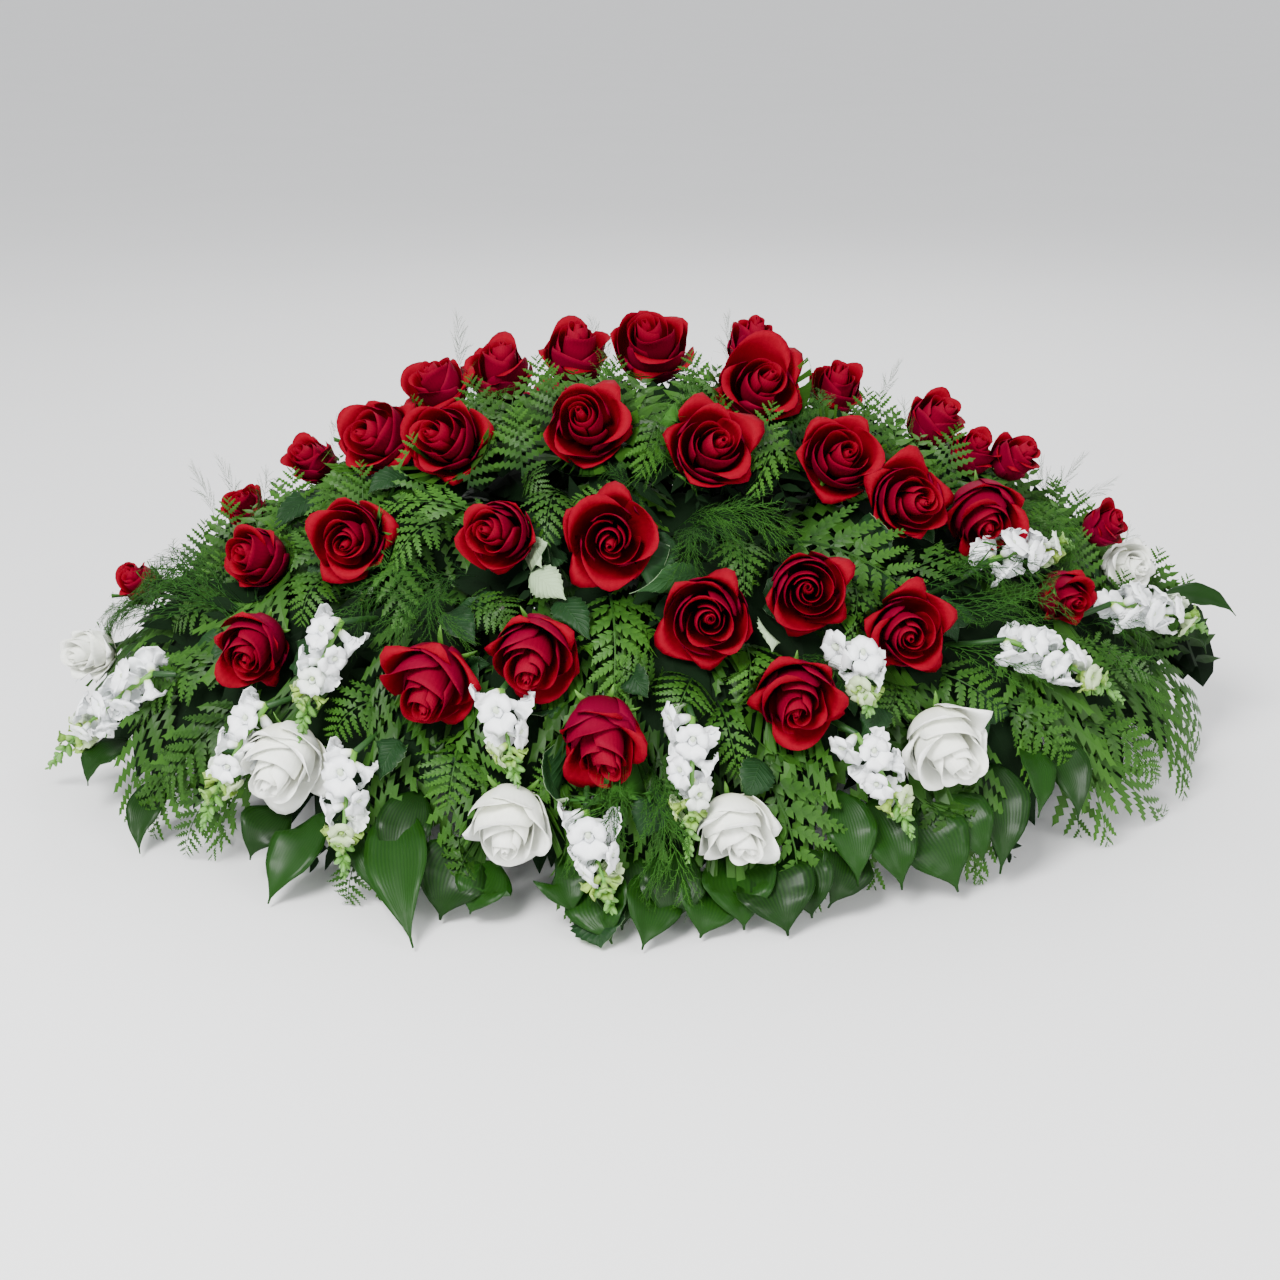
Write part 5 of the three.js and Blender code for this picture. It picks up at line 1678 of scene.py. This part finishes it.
for i, (across, down) in enumerate(OUTLINE):
    path, ups = standing_path(across + stray(22), down + 70, across, down)
    if i % 3 == 2:
        lay_frond("plumes", plumes[i % 2], path, ups, 0.026, draw.uniform(0.3, 0.8), draw)
    else:
        lay_frond("ferns", plain_fronds[i % 2], path, ups, 0.027, draw.uniform(0.1, 0.6), draw)
for i, (angle, low, high) in enumerate(BACK_PLUMES):
    ends = (on_shell(angle, low), on_shell(angle, high))
    lay_over("plumes", plumes[i % 2], ends, 1.0, 0.0, 0.026, draw.uniform(0.3, 1), belly=0.014, droop=0.006)
print("plumes laid", len(FRONT_PLUMES) + len(WISPS) + len(BACK_PLUMES))

# %% [markdown]
# ## Broad leaves and rose leaves
# Broad leaves hang as a skirt. Each is one blade that folds a little along its middle and waves
# at its edges. Rose leaves are smaller, with toothed edges, and grow in threes below the
# blooms. Both are grids of points, so that they bend smoothly and keep an underside.


# %% One leaf as a grid
def leaf_sheet(rows, columns, fullness, teeth, fold, wave, draw):
    """Leaf along +Y, one long and one wide to each side, with its stalk at the foot"""
    v, u = grid_shares(rows, columns)
    width = np.sin(math.pi * v**0.74) ** (fullness + 0.5 * v**2)
    width = np.maximum(width * (1 + teeth * (((v * rows) % 2) - 0.5) * (np.abs(u) > 0.99)), 0.03)
    phase = draw.uniform(0, FULL_TURN, 2)
    edge = np.abs(u) ** 1.5 * np.sin(math.pi * v)
    z = fold * np.abs(u) * width + wave * edge * np.sin(7 * v * math.pi + np.sign(u) * phase[0] + phase[1])
    return np.stack([-u * width, v, z], -1)


def laid_leaf(grid, path, ups, half_width, roll, thickness, values):
    """A leaf's grid, laid along a path, clear of the blooms, and closed"""
    flat = Shape(grid.reshape(-1, 3), np.zeros(0), np.zeros(0))
    points = bend(flat, path, to_front(path, ups), half_width, roll).points
    return thick(clear_of_blooms(points).reshape(grid.shape), thickness, 0.7, values)


def leaf_path(foot, tip, belly=0.012):
    """Path that rises off the mound in the middle, from one place to another"""
    off = shell_normal((foot + tip) / 2)
    handle = (foot * 0.55 + tip * 0.45) + off * belly * 2
    path = bowed(foot, handle, tip, np.linspace(0, 1, PATH_STEPS)[:, None])
    path[:, 2] = np.maximum(path[:, 2], FLOOR_GAP)
    return path, np.broadcast_to(off, path.shape)


# %% Broad leaves: foot and tip pixels, width in mm, as in the CAD model
BROAD_LEAVES = (
    (398, 800, 413, 948, 50), (325, 812, 268, 904, 42), (168, 778, 140, 854, 30),
    (470, 838, 440, 920, 62), (596, 872, 612, 944, 52), (656, 870, 642, 950, 46),
    (708, 872, 700, 938, 52), (762, 856, 788, 936, 62), (845, 838, 828, 908, 46),
    (908, 806, 958, 892, 58), (986, 762, 1000, 874, 46), (1022, 742, 1038, 818, 30),
    (1048, 736, 1078, 822, 34), (1160, 596, 1236, 616, 24), (1158, 616, 1206, 654, 40),
    (366, 800, 380, 900, 40), (838, 790, 858, 888, 40), (130, 740, 88, 786, 34), (560, 850, 576, 916, 48),
    (624, 850, 622, 930, 50), (676, 850, 668, 928, 50), (730, 850, 744, 930, 54),
    (790, 850, 812, 918, 50), (870, 800, 902, 890, 44), (498, 860, 470, 914, 44),
    (420, 790, 396, 880, 44), (940, 790, 984, 862, 44), (290, 800, 250, 860, 40),
)
BACK_BROAD_LEAVES = ((12, 44), (34, 50), (76, 46), (102, 52), (146, 50), (170, 42), (56, 44), (124, 44))
LEAF_DEPTHS = (0.93, 1.01)
BACK_LEAF_SHARES = (0.84, 1.06)
BACK_LEAF_DEPTH = 0.9
BROAD_THICKNESS = 0.0008
BROAD_SEEDS = (300, 340)


def add_broad_leaf(foot, tip, width, seed):
    """One hanging leaf, with its own fullness, fold, wave, tone and roll"""
    draw = np.random.default_rng(seed)
    path, ups = leaf_path(foot, tip)
    fullness = draw.uniform(1.1, 1.45)
    grid = leaf_sheet(15, 7, fullness, 0, draw.uniform(0.12, 0.35), draw.uniform(0.04, 0.1), draw)
    values = {"tone": draw.uniform(0.0, 1.0)}
    roll = draw.uniform(-0.3, 0.3)
    gather("broad_leaves", laid_leaf(grid, path, ups, width / 2, roll, BROAD_THICKNESS, values))


for i, (*ends, width) in enumerate(BROAD_LEAVES):
    foot = seen_at(*ends[:2], LEAF_DEPTHS[0])
    add_broad_leaf(foot, seen_at(*ends[2:], LEAF_DEPTHS[1]), width * MM, BROAD_SEEDS[0] + i)
for i, (angle, width) in enumerate(BACK_BROAD_LEAVES):
    foot = on_shell(angle, BACK_LEAF_SHARES[0], BACK_LEAF_DEPTH)
    add_broad_leaf(foot, on_shell(angle, BACK_LEAF_SHARES[1]), width * MM, BROAD_SEEDS[1] + i)
print("broad leaves", len(BROAD_LEAVES) + len(BACK_BROAD_LEAVES))

# %% Rose leaves: foot and tip pixels, width in mm, tone, and 1 where the underside shows
ROSE_LEAVES = (
    (408, 478, 368, 494, 20, 0.2, 0), (672, 538, 628, 590, 30, 0.3, 0), (700, 575, 637, 592, 22, 1.0, 0),
    (770, 612, 772, 652, 22, 1.0, 1), (530, 572, 566, 600, 26, 0.6, 1), (520, 540, 542, 568, 22, 0.5, 1),
    (450, 612, 476, 646, 26, 0.1, 0), (325, 495, 272, 532, 22, 0.1, 0), (748, 452, 772, 428, 16, 0.8, 0),
    (936, 446, 962, 450, 14, 0.9, 1), (628, 672, 648, 698, 22, 0.0, 0), (672, 704, 684, 718, 14, 0.9, 1),
    (600, 905, 601, 948, 40, 0.1, 0), (560, 600, 590, 640, 26, 0.2, 0), (860, 520, 890, 560, 26, 0.2, 0),
    (760, 760, 745, 800, 28, 0.2, 0), (660, 790, 640, 840, 30, 0.2, 0), (400, 740, 380, 780, 28, 0.2, 0),
    (560, 750, 570, 800, 28, 0.15, 0), (880, 700, 860, 740, 26, 0.3, 0), (300, 640, 320, 690, 26, 0.2, 0),
)
ROSE_LEAF_THICKNESS = 0.0006
ROSE_LEAF_TEETH = 0.14
SEEN_LEAF_ROWS = 19
# Turn and size of the three leaves of a rose
LEAF_TRIO = ((0.0, 0.55), (0.9, 0.42), (-0.9, 0.42))
TRIO_BASE = 0.42
TRIO_WIDTH = 0.62


def add_rose_leaf(foot, tip, width, tone, flipped=0, rows=9):
    """One toothed leaf, with its own fold, wave and roll"""
    path, ups = leaf_path(foot, tip, 0.006)
    grid = leaf_sheet(rows, 5, 0.8, ROSE_LEAF_TEETH, draw.uniform(0.15, 0.35), draw.uniform(0.05, 0.12), draw)
    roll = stray(0.35) + math.pi * flipped
    gather("rose_leaves", laid_leaf(grid, path, ups, width / 2, roll, ROSE_LEAF_THICKNESS, {"tone": tone}))


for *ends, width, tone, flipped in ROSE_LEAVES:
    foot = seen_at(*ends[:2], 0.97)
    add_rose_leaf(foot, seen_at(*ends[2:]), width * MM, tone, flipped, SEEN_LEAF_ROWS)
for rose in roses:
    axis = rose["axis"]
    around = unit(np.cross(axis, Z_AXIS)) * stray(1) - Z_AXIS * draw.uniform(-0.4, 1)
    around = unit(around - axis * (around @ axis))
    node = rose["foot"] - axis * 0.02
    end = settled(node + around * rose["width"] * draw.uniform(0.85, 1.1), 0.96)
    start = node + around * 0.012
    side = unit(np.cross(shell_normal(end), end - start))
    long = np.linalg.norm(end - start)
    tone = draw.uniform(0, 0.5)
    base = start + (end - start) * TRIO_BASE
    for turn, size in LEAF_TRIO:
        reach = ((end - start) * math.cos(turn) + side * long * math.sin(turn)) * size
        add_rose_leaf(base, base + reach, long * size * TRIO_WIDTH, tone)
print("rose leaves", len(ROSE_LEAVES) + len(LEAF_TRIO) * len(roses))

# %% [markdown]
# ## Stems, calyxes and sepals
# Each bloom has a stem that ends in the foam, and each hole in the foam is its own. Under the
# petals of a rose sits the green calyx with five narrow sepals. On the low roses, which face
# down, the sepals curl out past the petals and can be seen.

# %% Stems
FOAM_TOP = 0.108
FOAM_HALF = (0.205, 0.05)
FOAM_SINK = 0.03
HOLE_SHARES = (0.42, 0.16)
STEM_RADIUS = 0.0026
STEM_STEPS = 10
STEM_FLOOR = 0.012


def stem_shape(end, direction):
    """Stem from a bloom down into the foam; direction is the way that the bloom faces"""
    across = np.clip(end[:2] * HOLE_SHARES, np.negative(FOAM_HALF), FOAM_HALF)
    hole = np.append(across, FOAM_TOP - FOAM_SINK)
    out = unit(end - hole)
    entry = hole + np.array([out[0] * 0.5, out[1] * 0.5, 1.0]) * 0.05
    reach = np.linalg.norm(end - entry) * 0.4
    handles = (end, end - direction * reach, entry + out * reach * 0.5, entry)
    path = np.concatenate([bezier(handles, np.linspace(0, 1, STEM_STEPS)), hole[None]])
    path[:, 2] = np.maximum(path[:, 2], STEM_FLOOR)
    return tube(path, STEM_RADIUS)


stems = [stem_shape(rose["foot"], rose["axis"]) for rose in roses]
for path in head_paths:
    facing_out = unit(unit(path[1] - path[0]) + 1.6 * shell_normal(path[0]))
    stems.append(stem_shape(path[0], facing_out))
print("stems", len(stems))


# %% Calyxes and sepals
CALYX_HEIGHTS = (-0.06, 0.0, 0.05, 0.1)
CALYX_RADII = (0.035, 0.09, 0.1, 0.07)
SEPALS = 5
SEPAL_ROWS = 6
SEPAL_THICKNESS = 0.0007


def calyx_shape(rose):
    """Green cup under a rose, with its sepals; the lower the rose faces, the looser they are"""
    width, axis, foot = rose["width"], rose["axis"], rose["foot"]
    heights = np.array(CALYX_HEIGHTS) * width
    shapes = [tube(foot + heights[:, None] * axis, np.array(CALYX_RADII) * width, 9, {"tone": 0.5})]
    loose = float(np.clip(-axis[2] * 1.2 + 0.25, 0.1, 1))
    v, u = grid_shares(SEPAL_ROWS, 3)
    for k in range(SEPALS):
        around = rose["number"] + 2 * math.pi * k / SEPALS + stray(0.2)
        long = width * draw.uniform(0.26, 0.38)
        # The sepal's slope, summed from its foot, gives how far out and how high it runs
        swing = (0.9 + 1.9 * loose * v) * draw.uniform(0.9, 1.1)
        outwards = np.cumsum(np.sin(swing), axis=0) / SEPAL_ROWS * long + 0.075 * width
        height = np.cumsum(np.cos(swing), axis=0) / SEPAL_ROWS * long * 0.8 + 0.02 * width
        half = 0.028 * width * np.sin(math.pi * (0.12 + 0.86 * v)) ** 0.8
        twist = 1.5 * loose * v * draw.uniform(-1, 1)
        aside = u * half * np.cos(twist)
        outwards = outwards + 0.4 * np.abs(u) * half * np.sin(twist)
        grid = np.stack([
            outwards * math.cos(around) - aside * math.sin(around),
            outwards * math.sin(around) + aside * math.cos(around),
            height + u * half * np.sin(twist),
        ], -1)
        values = {"tone": 0.6 + 0.4 * loose, "ripe": 0.5}
        shapes.append(thick(turned(grid, foot, axis), SEPAL_THICKNESS, 0.6, values))
    return joined(shapes)


calyxes = [calyx_shape(rose) for rose in roses]

# %% [markdown]
# ## Greenery pieces
# All greenery of one kind and one sector becomes one piece. The pieces together replace the
# CAD model's six greenery solids, because a plume may lie over more than one of them.

# %% Make the pieces
FINISHES = {
    "ferns": FERN,
    "under_ferns": PAINTED_SHADE_FERN,
    "plumes": PLUME,
    "broad_leaves": BROAD,
    "rose_leaves": ROSE_LEAF,
}
for (kind, sector), shapes in sorted(baskets.items()):
    smooth = "ferns" not in kind
    add_piece(f"{kind}_{sector}", joined(shapes), FINISHES[kind], "foliage", GREENERY, smooth)
add_piece("bloom_stems", joined(stems), STEM_GREEN, "foliage", GREENERY)
add_piece("rose_calyxes", joined(calyxes), STEM_GREEN, "foliage", GREENERY)
for name, faces in sorted(FACES.items(), key=lambda item: -item[1])[:12]:
    print(name, faces)
print("all added pieces", sum(FACES.values()), "triangles in", len(FACES), "pieces")
